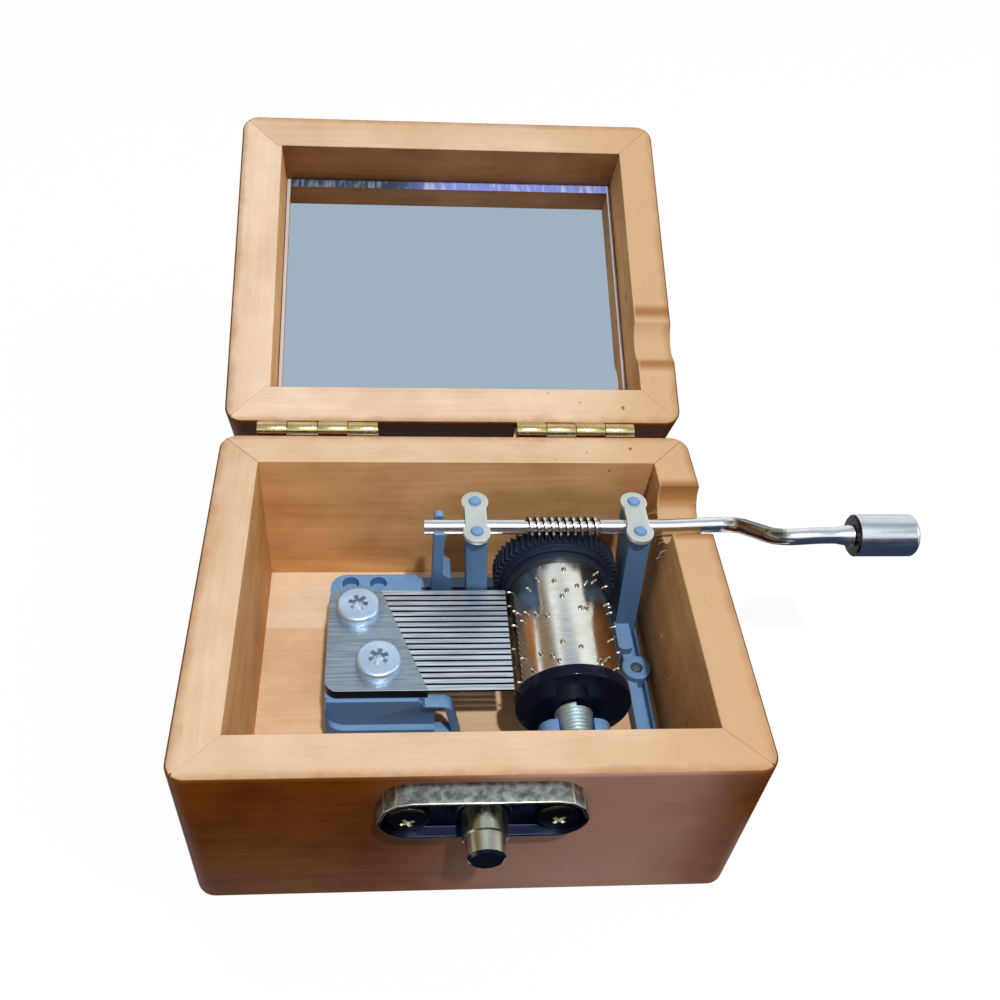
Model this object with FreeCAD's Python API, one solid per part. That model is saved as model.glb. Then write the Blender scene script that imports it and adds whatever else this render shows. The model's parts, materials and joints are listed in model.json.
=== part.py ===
import FreeCAD, Part
import math
import os

# Hand-cranked comb music box: a pinned-drum movement in a hinged wooden case with a lid mirror.
# Millimetres. Origin: centre of the case underside. +Z up, the catch faces -Y, the crank is at +X.
# The lid is drawn shut and then swung open about its hinge axis to its rest pose.

V = FreeCAD.Vector

# ---------------------------------------------------------------- wooden case
case_width = 64.0
case_depth = 52.0
base_height = 27.0
lid_height = 15.0
wall = 5.4
floor_thickness = 4.5
corner_radius = 2.4
rim_ease = 0.45
lid_panel_thickness = 4.7
lid_left_extra = 0.7
mirror_thickness = 3.0
mirror_clearance = 0.15
mirror_bevel = 0.6
lid_open_angle = 155.8

# Openings for the crank shaft in the right-hand wall and lid rim
notch_y = 12.05
notch_width = 8.6
notch_clearance = 0.5
notch_corner = 3.2
lid_groove_y = 12.8
lid_groove_width = 6.6
lid_groove_depth = 1.5

# ---------------------------------------------------------------- hinges
hinge_centres = (-19.1, 16.6)
hinge_width = 16.5
hinge_axis_behind = 1.3
hinge_axis_drop = 0.3
barrel_radius = 1.1
hinge_pin_radius = 0.5
pin_clearance = 0.03
knuckle_count = 4
knuckle_gap = 0.12
leaf_thickness = 0.5
leaf_height = 6.6
leaf_swing_gap = 0.25
nail_spacing = 10.0
nail_drop = 4.2
nail_head_radius = 1.0
nail_head_height = 0.45
nail_radius = 0.45
nail_length = 4.2

# ---------------------------------------------------------------- front catch
catch_centre_x = 0.7
catch_length = 22.2
catch_height = 7.4
catch_top_drop = 0.8
catch_thickness = 2.5
catch_dish_depth = 1.2
catch_dish_rim = 0.45
catch_screw_head_radius = 2.3
catch_screw_head_height = 1.0
catch_screw_radius = 0.8
catch_screw_length = 5.2
catch_screw_spacing = 15.9
catch_screw_drop = 0.6
post_radius = 2.4
post_tip_radius = 2.0
post_neck_length = 1.9
post_tip_length = 2.4
post_shoulder = 0.2
post_spigot_radius = 1.2

# ---------------------------------------------------------------- drum and its worm wheel
drum_x = 13.15
drum_z = 15.3
drum_front = -8.9
drum_length = 16.8
drum_radius = 6.4
drum_wall = 0.35
drum_pin_radius = 0.2
drum_pin_height = 0.52
cap_radius = 7.15
cap_thickness = 1.85
plug_depth = 1.5
arbor_radius = 0.8
worm_module = 0.3
wheel_teeth = 54
wheel_face = 2.8
wheel_addendum = 0.24
wheel_dedendum = 0.42
space_root_half = 0.22
space_tip_half = 0.43
space_overrun = 0.5
collar_radius = 7.35
collar_groove_radius = 6.75

# ---------------------------------------------------------------- crank, worm and knob
crank_shaft_y = 11.2
shaft_radius = 1.0
shaft_left_end = -4.75
worm_pitch_radius = 1.1
worm_core_radius = 0.75
worm_crest_radius = 1.35
worm_turns = 9.5
thread_root_half = 0.26
thread_crest_half = 0.14
crank_set_start = 26.6
crank_set_radius = 40.0
crank_set_rise = 0.25
crank_bend_start = 36.2
crank_bend_radius = 2.9
crank_throw = 11.0
crank_throw_angle = 41.5
crank_arm_advance = 1.7
crank_elbow_sag = 0.45
crank_tail_run = 5.0
crank_tail_radius = 20.0
knob_start = 46.9
knob_length = 7.55
knob_radius = 2.55
knob_edge_radius = 0.55
knob_near_edge = 0.22
knob_end_wall = 1.1
knob_clearance = 0.05
stop_flare_radius = 1.35
stop_flare_length = 1.9
stop_flare_gap = 0.1

# ---------------------------------------------------------------- comb
tooth_count = 18
tooth_pitch = 0.869
tooth_slot = 0.2
tooth_thickness = 0.45
comb_thickness = 1.6
comb_top_above_axis = 0.7
comb_left = -17.05
comb_corner_radius = 1.5
comb_front_margin = 0.85
comb_tip_gap = 0.07
long_tooth_root = -10.1
short_tooth_root = -4.6
weighted_teeth = 9
weight_length = 1.6
weight_height = 1.1
weight_gap = 0.12
comb_screw_places = ((-13.2, 4.4), (-10.5, -4.1))
comb_screw_head_radius = 2.8
comb_screw_head_height = 1.9
comb_screw_edge = 0.35
comb_screw_radius = 1.3
comb_screw_depth = 4.5

# ---------------------------------------------------------------- cast frame of the movement
# The movement is laid out about its own origin, which lies this far from the right-hand wall
movement_from_wall = 26.6
rail_height = 2.2
rail_width = 2.6
cast_wall = 1.8
bed_plate = 2.4
bed_back_shelf = 4.1
bed_corner_radius = 2.2
shelf_hole_radius = 1.15
shelf_hole_depth = 1.4
shelf_hole_places = (-14.4, -10.7)
front_wall_run = 3.0
front_wall_flare = 1.5
front_wall_corner = 1.7
front_wall_notch = 0.45
front_wall_notch_x = -5.2
front_shelf_height = 4.7
front_recess_depth = 0.8
front_recess_corner = 2.3
front_recess_rim = 0.2
front_lobe_rim = 0.4
front_lobe_band = 0.8
front_pocket_width = 1.1
front_pocket_drop = 1.2
foot_reach = 1.5
wall_top_gap = 0.1
bed_link_left = 2.0
bed_link_right = 6.0
frame_right = 25.5
rail_groove_width = 1.05
rail_groove_depth = 1.3
rail_rim_width = 0.35
ledge_width = 2.0
ledge_front = 3.7
ledge_rise = 3.5
frame_front = -16.6
left_post_x = 1.86
right_post_x = 22.82
post_width = 2.75
post_lean = 1.1
bearing_post_front = 8.0
bearing_post_back = 14.9
rear_wall_thickness = 1.8
rear_wall_height = 5.5
rear_bearing_radius = 3.4
bearing_clearance = 0.04
finger_left = -3.46
finger_width = 1.3
finger_foot_width = 2.5
finger_front = 9.65
finger_back = 13.2
finger_step_drop = 8.6
finger_prong_rise = 0.1
finger_tip_rise = 0.95
lug_front = -16.4
lug_back = -12.4
lug_wall = 1.4
lug_radius = 4.4
lug_slot = 4.3
lug_ear_rise = 0.9
spring_wire_radius = 0.22
spring_big_radius = 2.15
spring_small_radius = 1.6
spring_coils = 8
spring_gap = 0.1
plate_end_radius = 1.75
plate_waist_half = 1.4
plate_thickness = 0.7
rivet_spacing = 5.3
rivet_shift = 0.25
rivet_radius = 0.6
rivet_head_radius = 0.85
rivet_head_height = 0.35
boss_radius = 1.9
boss_height = 3.1
case_screw_places = ((24.2, 0.9), (-14.6, -6.0), (-14.6, 9.6))
case_screw_radius = 0.85
case_screw_head_radius = 2.1
case_screw_head_height = 1.3
case_screw_tip_drop = 0.3
case_screw_sink = 0.3
case_screw_sink_gap = 0.2

# ---------------------------------------------------------------- derived places
half_width = case_width / 2
half_depth = case_depth / 2
inner_half_width = half_width - wall
inner_half_depth = half_depth - wall
movement_x = inner_half_width - movement_from_wall
closed_top = base_height + lid_height
mirror_face_z = closed_top - lid_panel_thickness - mirror_thickness
hinge_y = half_depth + hinge_axis_behind
hinge_z = base_height - hinge_axis_drop
wheel_pitch_radius = worm_module * wheel_teeth / 2
wheel_radius = wheel_pitch_radius + wheel_addendum
wheel_root_radius = wheel_pitch_radius - wheel_dedendum
worm_lead = math.pi * worm_module
shaft_z = drum_z + wheel_pitch_radius + worm_pitch_radius
notch_floor = shaft_z - shaft_radius - notch_clearance
drum_back = drum_front + drum_length
cap_front = drum_front - cap_thickness
wheel_front = crank_shaft_y - wheel_face / 2
wheel_back = crank_shaft_y + wheel_face / 2
pin_reach = drum_radius + drum_pin_height
comb_top = drum_z + comb_top_above_axis
comb_tip_x = drum_x - pin_reach - comb_tip_gap
comb_front = drum_front + comb_front_margin
comb_back = comb_front + tooth_count * tooth_pitch
bed_top = comb_top - comb_thickness
rail_top = floor_thickness + rail_height
plate_bottom = shaft_z + shaft_radius + pin_clearance
catch_z = base_height - catch_top_drop - catch_height / 2
catch_face_y = -half_depth - catch_thickness


# ---------------------------------------------------------------- shape helpers
def in_xy(z):
    """Map a flat outline to the horizontal plane at height z."""
    return lambda u, v: V(u, v, z)


def in_xz(y):
    """Map a flat outline to the upright plane across the case at depth y."""
    return lambda u, v: V(u, y, v)


def in_yz(x):
    """Map a flat outline to the upright side plane at x."""
    return lambda u, v: V(x, u, v)


def rounded_face(corners, place):
    """Face of a polygon whose corners are (u, v, radius), laid in space by place."""
    edges = []
    ends = []
    for index, (u, v, radius) in enumerate(corners):
        here = V(u, v, 0)
        before = V(corners[index - 1][0], corners[index - 1][1], 0)
        following = corners[(index + 1) % len(corners)]
        after = V(following[0], following[1], 0)
        to_before = (before - here).normalize()
        to_after = (after - here).normalize()
        if radius == 0:
            ends.append((here, here, None))
            continue
        half_angle = to_before.getAngle(to_after) / 2
        reach = radius / math.tan(half_angle)
        centre = here + (to_before + to_after).normalize() * (radius / math.sin(half_angle))
        middle = centre + (here - centre).normalize() * radius
        ends.append((here + to_before * reach, here + to_after * reach, middle))
    for index, (start, stop, middle) in enumerate(ends):
        if middle is not None:
            arc = Part.Arc(place(start.x, start.y), place(middle.x, middle.y), place(stop.x, stop.y))
            edges.append(arc.toShape())
        following = ends[(index + 1) % len(ends)][0]
        if stop.distanceToPoint(following) > 1e-6:
            edges.append(Part.makeLine(place(stop.x, stop.y), place(following.x, following.y)))
    return Part.Face(Part.Wire(Part.__sortEdges__(edges)))


def slab(corners, place, direction):
    """Solid pushed out of a rounded polygon along direction."""
    return rounded_face(corners, place).extrude(direction)


def block(x0, x1, y0, y1, z0, z1):
    """Box between two corners."""
    return Part.makeBox(x1 - x0, y1 - y0, z1 - z0, V(x0, y0, z0))


def rod_x(radius, x0, x1, y, z):
    """Cylinder along X."""
    return Part.makeCylinder(radius, x1 - x0, V(x0, y, z), V(1, 0, 0))


def rod_y(radius, y0, y1, x, z):
    """Cylinder along Y."""
    return Part.makeCylinder(radius, y1 - y0, V(x, y0, z), V(0, 1, 0))


def rod_z(radius, z0, z1, x, y):
    """Cylinder along Z."""
    return Part.makeCylinder(radius, z1 - z0, V(x, y, z0), V(0, 0, 1))


def turned_y(profile, x, z):
    """Solid of revolution about the Y line through (x, z); profile is a list of (radius, y)."""
    points = [V(x + radius, y, z) for radius, y in profile]
    face = Part.Face(Part.makePolygon(points + points[:1]))
    return face.revolve(V(x, 0, z), V(0, 1, 0), 360)


def turned_z(profile, x, y):
    """Solid of revolution about the upright line through (x, y); profile is a list of (radius, z)."""
    points = [V(x + radius, y, z) for radius, z in profile]
    face = Part.Face(Part.makePolygon(points + points[:1]))
    return face.revolve(V(x, y, 0), V(0, 0, 1), 360)


def joined(shapes):
    """One solid from touching or overlapping solids."""
    return shapes[0].fuse(shapes[1:]).removeSplitter()


def hexagon(radius, normal):
    """Closed ring of offsets round a point: the corners of a small hexagon across normal."""
    along = normal.cross(V(0.3, 0.2, 1)).normalize() * radius
    return [FreeCAD.Rotation(normal, 60.0 * step).multVec(along) for step in (0, 1, 2, 3, 4, 5, 0)]


def rectangle(x0, x1, y0, y1, radius):
    """Corner list of a rectangle with equal round corners."""
    return [(x0, y0, radius), (x1, y0, radius), (x1, y1, radius), (x0, y1, radius)]


def swung_open(shape):
    """The shut lid's shape turned about the hinge axis to its open rest pose."""
    return shape.rotate(V(0, hinge_y, hinge_z), V(1, 0, 0), -lid_open_angle)


# ---------------------------------------------------------------- wooden case
def wooden_ring(z0, z1, eased_z):
    """Four-sided wooden wall with rounded upright edges, softly eased along the edges at eased_z."""
    outline = rectangle(-half_width, half_width, -half_depth, half_depth, corner_radius)
    outer = slab(outline, in_xy(z0), V(0, 0, z1 - z0))
    rims = [e for e in outer.Edges if any(abs(v.Z - z) < 1e-6 for z in eased_z for v in e.Vertexes[:1])
            and abs(e.Vertexes[0].Z - e.Vertexes[-1].Z) < 1e-6]
    outer = outer.makeFillet(rim_ease, rims)
    cavity = block(-inner_half_width, inner_half_width, -inner_half_depth, inner_half_depth, z0 - 1, z1 + 1)
    return outer.cut(cavity)


def mitre_wedge(side, z0, z1):
    """Prism over one side of the case whose ends lie in the corner mitres."""
    far = [(-half_width, -half_depth), (half_width, -half_depth),
           (inner_half_width, -inner_half_depth), (-inner_half_width, -inner_half_depth)]
    near = {"front": far,
            "back": [(u, -v) for u, v in far],
            "right": [(half_width, -half_depth), (half_width, half_depth),
                     (inner_half_width, inner_half_depth), (inner_half_width, -inner_half_depth)],
            "left": [(-half_width, -half_depth), (-half_width, half_depth),
                     (-inner_half_width, inner_half_depth), (-inner_half_width, -inner_half_depth)]}[side]
    return slab([(u, v, 0) for u, v in near], in_xy(z0), V(0, 0, z1 - z0))


def shaft_notch():
    """Round-cornered slot through the right-hand wall of the base, open at the rim."""
    half = notch_width / 2
    corners = [(notch_y - half, base_height + 1, 0), (notch_y - half, notch_floor, notch_corner),
               (notch_y + half, notch_floor, notch_corner), (notch_y + half, base_height + 1, 0)]
    return slab(corners, in_yz(inner_half_width - 1), V(wall + 2, 0, 0))


def lid_groove():
    """Shallow round groove across the right-hand lid rim, above the crank shaft."""
    half = lid_groove_width / 2
    radius = (half ** 2 + lid_groove_depth ** 2) / (2 * lid_groove_depth)
    centre_z = base_height + lid_groove_depth - radius
    return rod_x(radius, inner_half_width - 1, half_width + 1, lid_groove_y, centre_z)


def nail_places(centre):
    """X places of the two nails of one hinge leaf."""
    return (centre - nail_spacing / 2, centre + nail_spacing / 2)


def nail(x, z):
    """Round-headed nail driven forward into a back board through a hinge leaf."""
    seat = half_depth + leaf_thickness
    profile = [(0, seat - nail_length), (nail_radius, seat - nail_length + 0.8), (nail_radius, seat),
               (nail_head_radius, seat), (nail_head_radius * 0.75, seat + nail_head_height * 0.75),
               (0, seat + nail_head_height)]
    return turned_y(profile, x, z)


def nails(z):
    """All the nails of one row of hinge leaves, at height z."""
    return [nail(x, z) for centre in hinge_centres for x in nail_places(centre)]


def catch_screw_places():
    """Places (x, z) of the two catch screws, one in each round end of the plate."""
    reach = catch_screw_spacing / 2
    height = catch_z - catch_screw_drop
    return [(catch_centre_x - reach, height), (catch_centre_x + reach, height)]


def base_boards():
    """The four mitred walls of the base."""
    ring = wooden_ring(0, base_height, (0, base_height))
    ring = ring.cut(shaft_notch())
    boards = {side: ring.common(mitre_wedge(side, 0, base_height))
              for side in ("front", "back", "left", "right")}
    for x, z in catch_screw_places():
        hole = rod_y(catch_screw_radius, -half_depth - 1, catch_screw_tip(), x, z)
        boards["front"] = boards["front"].cut(hole)
    boards["back"] = boards["back"].cut(nails(base_height - nail_drop))
    return boards


def floor_board():
    """Floor of the base, with a stepped hole for each case screw."""
    board = block(-inner_half_width, inner_half_width, -inner_half_depth, inner_half_depth, 0, floor_thickness)
    for x, y in case_screw_places:
        place = x + movement_x
        board = board.cut(rod_z(case_screw_radius, -1, floor_thickness + 1, place, y))
        board = board.cut(rod_z(case_screw_head_radius + case_screw_sink_gap, -1,
                                case_screw_head_height + case_screw_sink, place, y))
    return board


def lid_left_face():
    """X of the inner face of the lid's left-hand wall, which is the thickest of the four."""
    return lid_left_extra - inner_half_width


def lid_boards():
    """The four mitred walls of the lid, drawn shut."""
    top = closed_top - lid_panel_thickness
    ring = wooden_ring(base_height, top, (base_height,)).cut(lid_groove())
    boards = {side: ring.common(mitre_wedge(side, base_height, top))
              for side in ("front", "back", "left", "right")}
    lining = block(-inner_half_width, lid_left_face(), -inner_half_depth, inner_half_depth, base_height, top)
    boards["left"] = joined([boards["left"], lining])
    boards["back"] = boards["back"].cut(nails(base_height + nail_drop))
    return boards


def lid_panel():
    """Top board of the lid, glued over its walls, with a softly rounded upper edge."""
    outline = rectangle(-half_width, half_width, -half_depth, half_depth, corner_radius)
    panel = slab(outline, in_xy(closed_top - lid_panel_thickness), V(0, 0, lid_panel_thickness))
    rims = [e for e in panel.Edges if all(abs(v.Z - closed_top) < 1e-6 for v in e.Vertexes)]
    return panel.makeFillet(2 * rim_ease, rims)


def lid_mirror():
    """Bevelled mirror glass glued to the lid panel between the walls."""
    x = inner_half_width - mirror_clearance
    y = inner_half_depth - mirror_clearance
    left = lid_left_face() + mirror_clearance
    glass = block(left, x, -y, y, mirror_face_z, mirror_face_z + mirror_thickness)
    rims = [e for e in glass.Edges if all(abs(v.Z - mirror_face_z) < 1e-6 for v in e.Vertexes)]
    return glass.makeChamfer(mirror_bevel, rims)


# ---------------------------------------------------------------- hinges
def knuckle_span(centre, index):
    """Start and end of one barrel knuckle along the hinge axis."""
    pitch = hinge_width / knuckle_count
    start = centre - hinge_width / 2 + index * pitch
    return start + knuckle_gap / 2, start + pitch - knuckle_gap / 2


def hinge_leaf(centre, upward, first):
    """One leaf with its knuckles: upward for the lid leaf, first is the index of its first knuckle."""
    sign = 1 if upward else -1
    back = half_depth + leaf_thickness
    edge = hinge_z + sign * (barrel_radius + leaf_swing_gap)
    far = hinge_z + sign * (leaf_height + (hinge_axis_drop if upward else 0))
    left, right = centre - hinge_width / 2, centre + hinge_width / 2
    corner = leaf_height / 6
    sheet = slab([(left, edge, 0), (right, edge, 0), (right, far, corner), (left, far, corner)],
                 in_xz(half_depth), V(0, leaf_thickness, 0))
    pieces = [sheet]
    for index in range(first, knuckle_count, 2):
        start, stop = knuckle_span(centre, index)
        barrel = rod_x(barrel_radius, start, stop, hinge_y, hinge_z)
        strap = block(start, stop, half_depth, back, min(hinge_z, edge), max(hinge_z, edge))
        bridge = block(start, stop, half_depth, hinge_y, hinge_z - leaf_thickness / 2,
                       hinge_z + leaf_thickness / 2)
        pieces += [barrel, strap, bridge]
    leaf = joined(pieces)
    leaf = leaf.cut(rod_x(hinge_pin_radius + pin_clearance, left - 1, right + 1, hinge_y, hinge_z))
    return leaf


def hinge_leaves(upward):
    """Both leaves of one kind, with their nail holes."""
    height = base_height + (nail_drop if upward else -nail_drop)
    leaves = [hinge_leaf(centre, upward, 0 if upward else 1) for centre in hinge_centres]
    return [leaf.cut(nails(height)) for leaf in leaves]


def hinge_pins():
    """Wire pins through the barrels, held in the base knuckles."""
    half = hinge_width / 2
    return [rod_x(hinge_pin_radius, centre - half, centre + half, hinge_y, hinge_z)
            for centre in hinge_centres]


# ---------------------------------------------------------------- front catch
def catch_outline(inset):
    """Corner list of the catch plate: rounded ends with flat facets along the top."""
    half = catch_length / 2 - inset
    tall = catch_height / 2 - inset
    straight = catch_length / 2 - catch_height / 2
    facets = []
    for degrees in (0, 35, 62, 90):
        angle = math.radians(degrees)
        facets.append((straight + (half - straight) * math.cos(angle), tall * math.sin(angle)))
    right = [(catch_centre_x + u, catch_z + v, 0) for u, v in facets]
    left = [(catch_centre_x - u, catch_z + v, 0) for u, v in reversed(facets)]
    bottom = catch_z - tall
    round_end = min(half - straight, tall) * 0.98
    return right + left + [(catch_centre_x - half, bottom, round_end),
                           (catch_centre_x + half, bottom, round_end)]


def catch_plate():
    """Thick dished plate screwed to the front board, with flat facets along its top edge."""
    plate = slab(catch_outline(0), in_xz(catch_face_y), V(0, catch_thickness, 0))
    dish = slab(catch_outline(catch_dish_rim), in_xz(catch_face_y - 1), V(0, catch_dish_depth + 1, 0))
    plate = plate.cut(dish)
    seat_y = catch_face_y + catch_dish_depth
    hub = rod_y(post_radius + 0.5, seat_y - 0.5, -half_depth, catch_centre_x, catch_z)
    plate = plate.fuse(hub).removeSplitter()
    for x, z in catch_screw_places():
        plate = plate.cut(rod_y(catch_screw_radius, catch_face_y - 1, -half_depth + 1, x, z))
    return plate.cut(rod_y(post_spigot_radius, catch_face_y - 1, -half_depth + 1, catch_centre_x, catch_z))


def catch_post():
    """Turned post of the catch: spigot, neck, shoulder and a slightly tapered tip."""
    seat = catch_face_y + catch_dish_depth - 0.5
    shoulder = catch_face_y - post_neck_length
    tip = shoulder - post_tip_length
    round_tip = post_tip_radius * 0.15
    profile = [(0, -half_depth), (post_spigot_radius, -half_depth), (post_spigot_radius, seat),
               (post_radius, seat), (post_radius, shoulder), (post_radius - post_shoulder, shoulder - 0.15),
               (post_tip_radius, tip + round_tip), (post_tip_radius - round_tip, tip), (0, tip)]
    return turned_y(profile, catch_centre_x, catch_z)


def catch_screw_tip():
    """Depth y of the points of the catch screws inside the front board."""
    return catch_face_y + catch_dish_depth + catch_screw_length


def catch_screws():
    """Two raised-head screws, their heads seated in the dish of the plate."""
    seat = catch_face_y + catch_dish_depth
    face = seat - catch_screw_head_height
    tip = catch_screw_tip()
    profile = [(0, tip), (catch_screw_radius, tip - 1.2), (catch_screw_radius, seat),
               (catch_screw_head_radius, seat), (catch_screw_head_radius, seat - 0.3),
               (catch_screw_head_radius * 0.7, face + 0.15), (0, face)]
    return [turned_y(profile, x, z) for x, z in catch_screw_places()]


# ---------------------------------------------------------------- drum
def drum_shell():
    """Thin metal sleeve of the drum."""
    outer = rod_y(drum_radius, drum_front, drum_back, drum_x, drum_z)
    return outer.cut(rod_y(drum_radius - drum_wall, drum_front - 1, drum_back + 1, drum_x, drum_z))


def drum_pin(track, angle):
    """One six-sided tune pin standing on the sleeve under a comb tooth."""
    y = comb_front + (track + 0.5) * tooth_pitch
    corners = []
    for step in range(6):
        turn = math.radians(60 * step)
        corners.append(V(drum_x + drum_pin_radius * math.cos(turn), y + drum_pin_radius * math.sin(turn),
                         drum_z + drum_radius))
    pin = Part.Face(Part.makePolygon(corners + corners[:1])).extrude(V(0, 0, drum_pin_height))
    return pin.rotate(V(drum_x, 0, drum_z), V(0, 1, 0), angle)


def drum_pins():
    """The tune: one beat every few degrees, with one or two notes a beat chosen by a fixed rule."""
    pins = []
    beats = 56
    melody = 9
    for beat in range(beats):
        melody = (melody * 7 + beat * 5 + 3) % tooth_count
        angle = 360.0 * beat / beats
        pins.append(drum_pin(melody, angle))
        if beat % 2 == 0:
            harmony = (melody + 4 + beat // 7) % tooth_count
            pins.append(drum_pin(harmony, angle))
    return pins


def tooth_space():
    """Cutter for one space of the worm wheel at its top, leaning with the worm's lead angle."""
    lean = worm_lead / (2 * math.pi * worm_pitch_radius)
    start_y = wheel_front - space_overrun
    run = wheel_face + 2 * space_overrun
    shift = -lean * run / 2
    bottom = drum_z + wheel_root_radius
    top = drum_z + wheel_radius + 0.2
    middle = drum_x + shift
    corners = [V(middle - space_root_half, start_y, bottom), V(middle + space_root_half, start_y, bottom),
               V(middle + space_tip_half, start_y, top), V(middle - space_tip_half, start_y, top)]
    face = Part.Face(Part.makePolygon(corners + corners[:1]))
    return face.extrude(V(lean * run, run, 0))


def worm_wheel():
    """Black plastic wheel that closes the back of the drum: plug, grooved collar and toothed rim."""
    mid = (drum_back + wheel_front) / 2
    groove = 0.35
    profile = [(0, drum_back - plug_depth), (drum_radius - drum_wall, drum_back - plug_depth),
               (drum_radius - drum_wall, drum_back), (collar_radius - 0.35, drum_back),
               (collar_radius - 0.35, mid - groove), (collar_groove_radius, mid - groove),
               (collar_groove_radius, mid), (collar_radius, mid), (collar_radius, wheel_front),
               (wheel_radius, wheel_front), (wheel_radius, wheel_back), (arbor_radius * 2.2, wheel_back),
               (0, wheel_back)]
    wheel = turned_y(profile, drum_x, drum_z)
    cutter = tooth_space()
    spaces = []
    for index in range(wheel_teeth):
        space = cutter.copy()
        space.rotate(V(drum_x, 0, drum_z), V(0, 1, 0), 360.0 * index / wheel_teeth)
        spaces.append(space)
    wheel = wheel.cut(spaces)
    return wheel.cut(rod_y(arbor_radius, drum_front, wheel_back + 1, drum_x, drum_z))


def drum_end_cap():
    """Black plastic flange and plug that close the front of the drum."""
    edge = 0.3
    profile = [(0, drum_front + plug_depth), (drum_radius - drum_wall, drum_front + plug_depth),
               (drum_radius - drum_wall, drum_front), (cap_radius, drum_front), (cap_radius, cap_front + edge),
               (cap_radius - edge, cap_front), (0, cap_front)]
    cap = turned_y(profile, drum_x, drum_z)
    return cap.cut(rod_y(arbor_radius, cap_front - 1, drum_back, drum_x, drum_z))


def drum_arbor():
    """Steel axle pressed through both ends of the drum."""
    return rod_y(arbor_radius, lug_front + 0.2, bearing_post_back - 0.1, drum_x, drum_z)


def arbor_spring():
    """Tapered compression spring round the arbor, between the end cap and the front bearing."""
    start = cap_front - spring_gap - spring_wire_radius
    stop = lug_front + lug_wall + spring_gap / 2 + spring_wire_radius
    height = start - stop
    taper = math.degrees(math.atan2(spring_big_radius - spring_small_radius, height))
    helix = Part.makeHelix(height / spring_coils, height, spring_small_radius, taper)
    helix.rotate(V(0, 0, 0), V(1, 0, 0), -90)
    helix.translate(V(drum_x, stop, drum_z))
    first = helix.Edges[0]
    wire_start = first.valueAt(first.FirstParameter)
    tangent = first.tangentAt(first.FirstParameter)
    section = Part.makePolygon([wire_start + across for across in hexagon(spring_wire_radius, tangent)])
    return Part.Wire(helix.Edges).makePipeShell([section], True, True)


# ---------------------------------------------------------------- crank
def worm_thread():
    """Right-handed thread whose lowest points fall in the spaces of the worm wheel."""
    turns_to_wheel = int(worm_turns / 2) + 0.75
    start = drum_x - turns_to_wheel * worm_lead
    root = worm_core_radius - 0.05
    helix = Part.makeHelix(worm_lead, worm_turns * worm_lead, root)
    profile = [V(root, 0, -thread_root_half), V(worm_crest_radius, 0, -thread_crest_half),
               V(worm_crest_radius, 0, thread_crest_half), V(root, 0, thread_root_half)]
    ring = Part.makePolygon(profile + profile[:1])
    thread = Part.Wire(helix.Edges).makePipeShell([ring], True, True)
    thread.rotate(V(0, 0, 0), V(1, 1, 1), 120)
    thread.translate(V(start, crank_shaft_y, shaft_z))
    return thread, start


def crank_corners(start):
    """Corners of the bent rod's centre line, from the worm to the end of the knob spindle."""
    throw = math.radians(crank_throw_angle)
    journal = V(crank_set_start, crank_shaft_y, shaft_z)
    knee = V(crank_bend_start, crank_shaft_y + crank_set_rise, shaft_z + crank_set_rise)
    tail_y = crank_shaft_y - crank_throw * math.cos(throw)
    tail_z = shaft_z + crank_throw * math.sin(throw)
    elbow_x = crank_bend_start + crank_arm_advance
    elbow = V(elbow_x, tail_y, tail_z - crank_elbow_sag)
    spindle = V(elbow_x + crank_tail_run, tail_y, tail_z)
    tail_end = V(knob_start + knob_length - knob_end_wall - knob_clearance, tail_y, tail_z)
    return [V(start, crank_shaft_y, shaft_z), journal, knee, elbow, spindle, tail_end]


def arc_through(start, corner, stop):
    """Tangent arc that rounds the corner between two straight runs."""
    chord_middle = (start + stop) * 0.5
    half_turn = (corner - start).getAngle(stop - start)
    radius = start.distanceToPoint(corner) / math.tan(half_turn)
    to_corner = (corner - chord_middle).normalize()
    sagitta = radius * (1 - math.cos(half_turn))
    return Part.Arc(start, chord_middle + to_corner * sagitta, stop).toShape()


def rounded_path(corners, radii):
    """Wire of straight runs whose corners are rounded by tangent arcs."""
    edges = []
    start = corners[0]
    for before, corner, after, radius in zip(corners, corners[1:], corners[2:], radii):
        arriving = (corner - before).normalize()
        leaving = (after - corner).normalize()
        reach = radius * math.tan(arriving.getAngle(leaving) / 2)
        arc_start = corner - arriving * reach
        arc_stop = corner + leaving * reach
        edges += [Part.makeLine(start, arc_start), arc_through(arc_start, corner, arc_stop)]
        start = arc_stop
    edges.append(Part.makeLine(start, corners[-1]))
    return Part.Wire(edges)


def crank_rod():
    """One steel rod: left journal, worm, right journal, cranked arm and knob spindle."""
    thread, start = worm_thread()
    core_start = start - worm_lead / 2
    core_stop = start + worm_turns * worm_lead + worm_lead / 2
    journal = rod_x(shaft_radius, shaft_left_end, core_start, crank_shaft_y, shaft_z)
    core = rod_x(worm_core_radius, core_start, core_stop, crank_shaft_y, shaft_z)
    corners = crank_corners(core_stop)
    path = rounded_path(corners, (crank_set_radius, crank_bend_radius, crank_bend_radius, crank_tail_radius))
    ring = Part.Wire(Part.makeCircle(shaft_radius, corners[0], V(1, 0, 0)))
    bent = path.makePipeShell([ring], True, True)
    flare_start = knob_start - stop_flare_gap - stop_flare_length
    flare = Part.makeCone(shaft_radius, stop_flare_radius, stop_flare_length,
                          V(flare_start, corners[-1].y, corners[-1].z), V(1, 0, 0))
    return joined([journal, core, thread, bent, flare])


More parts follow.
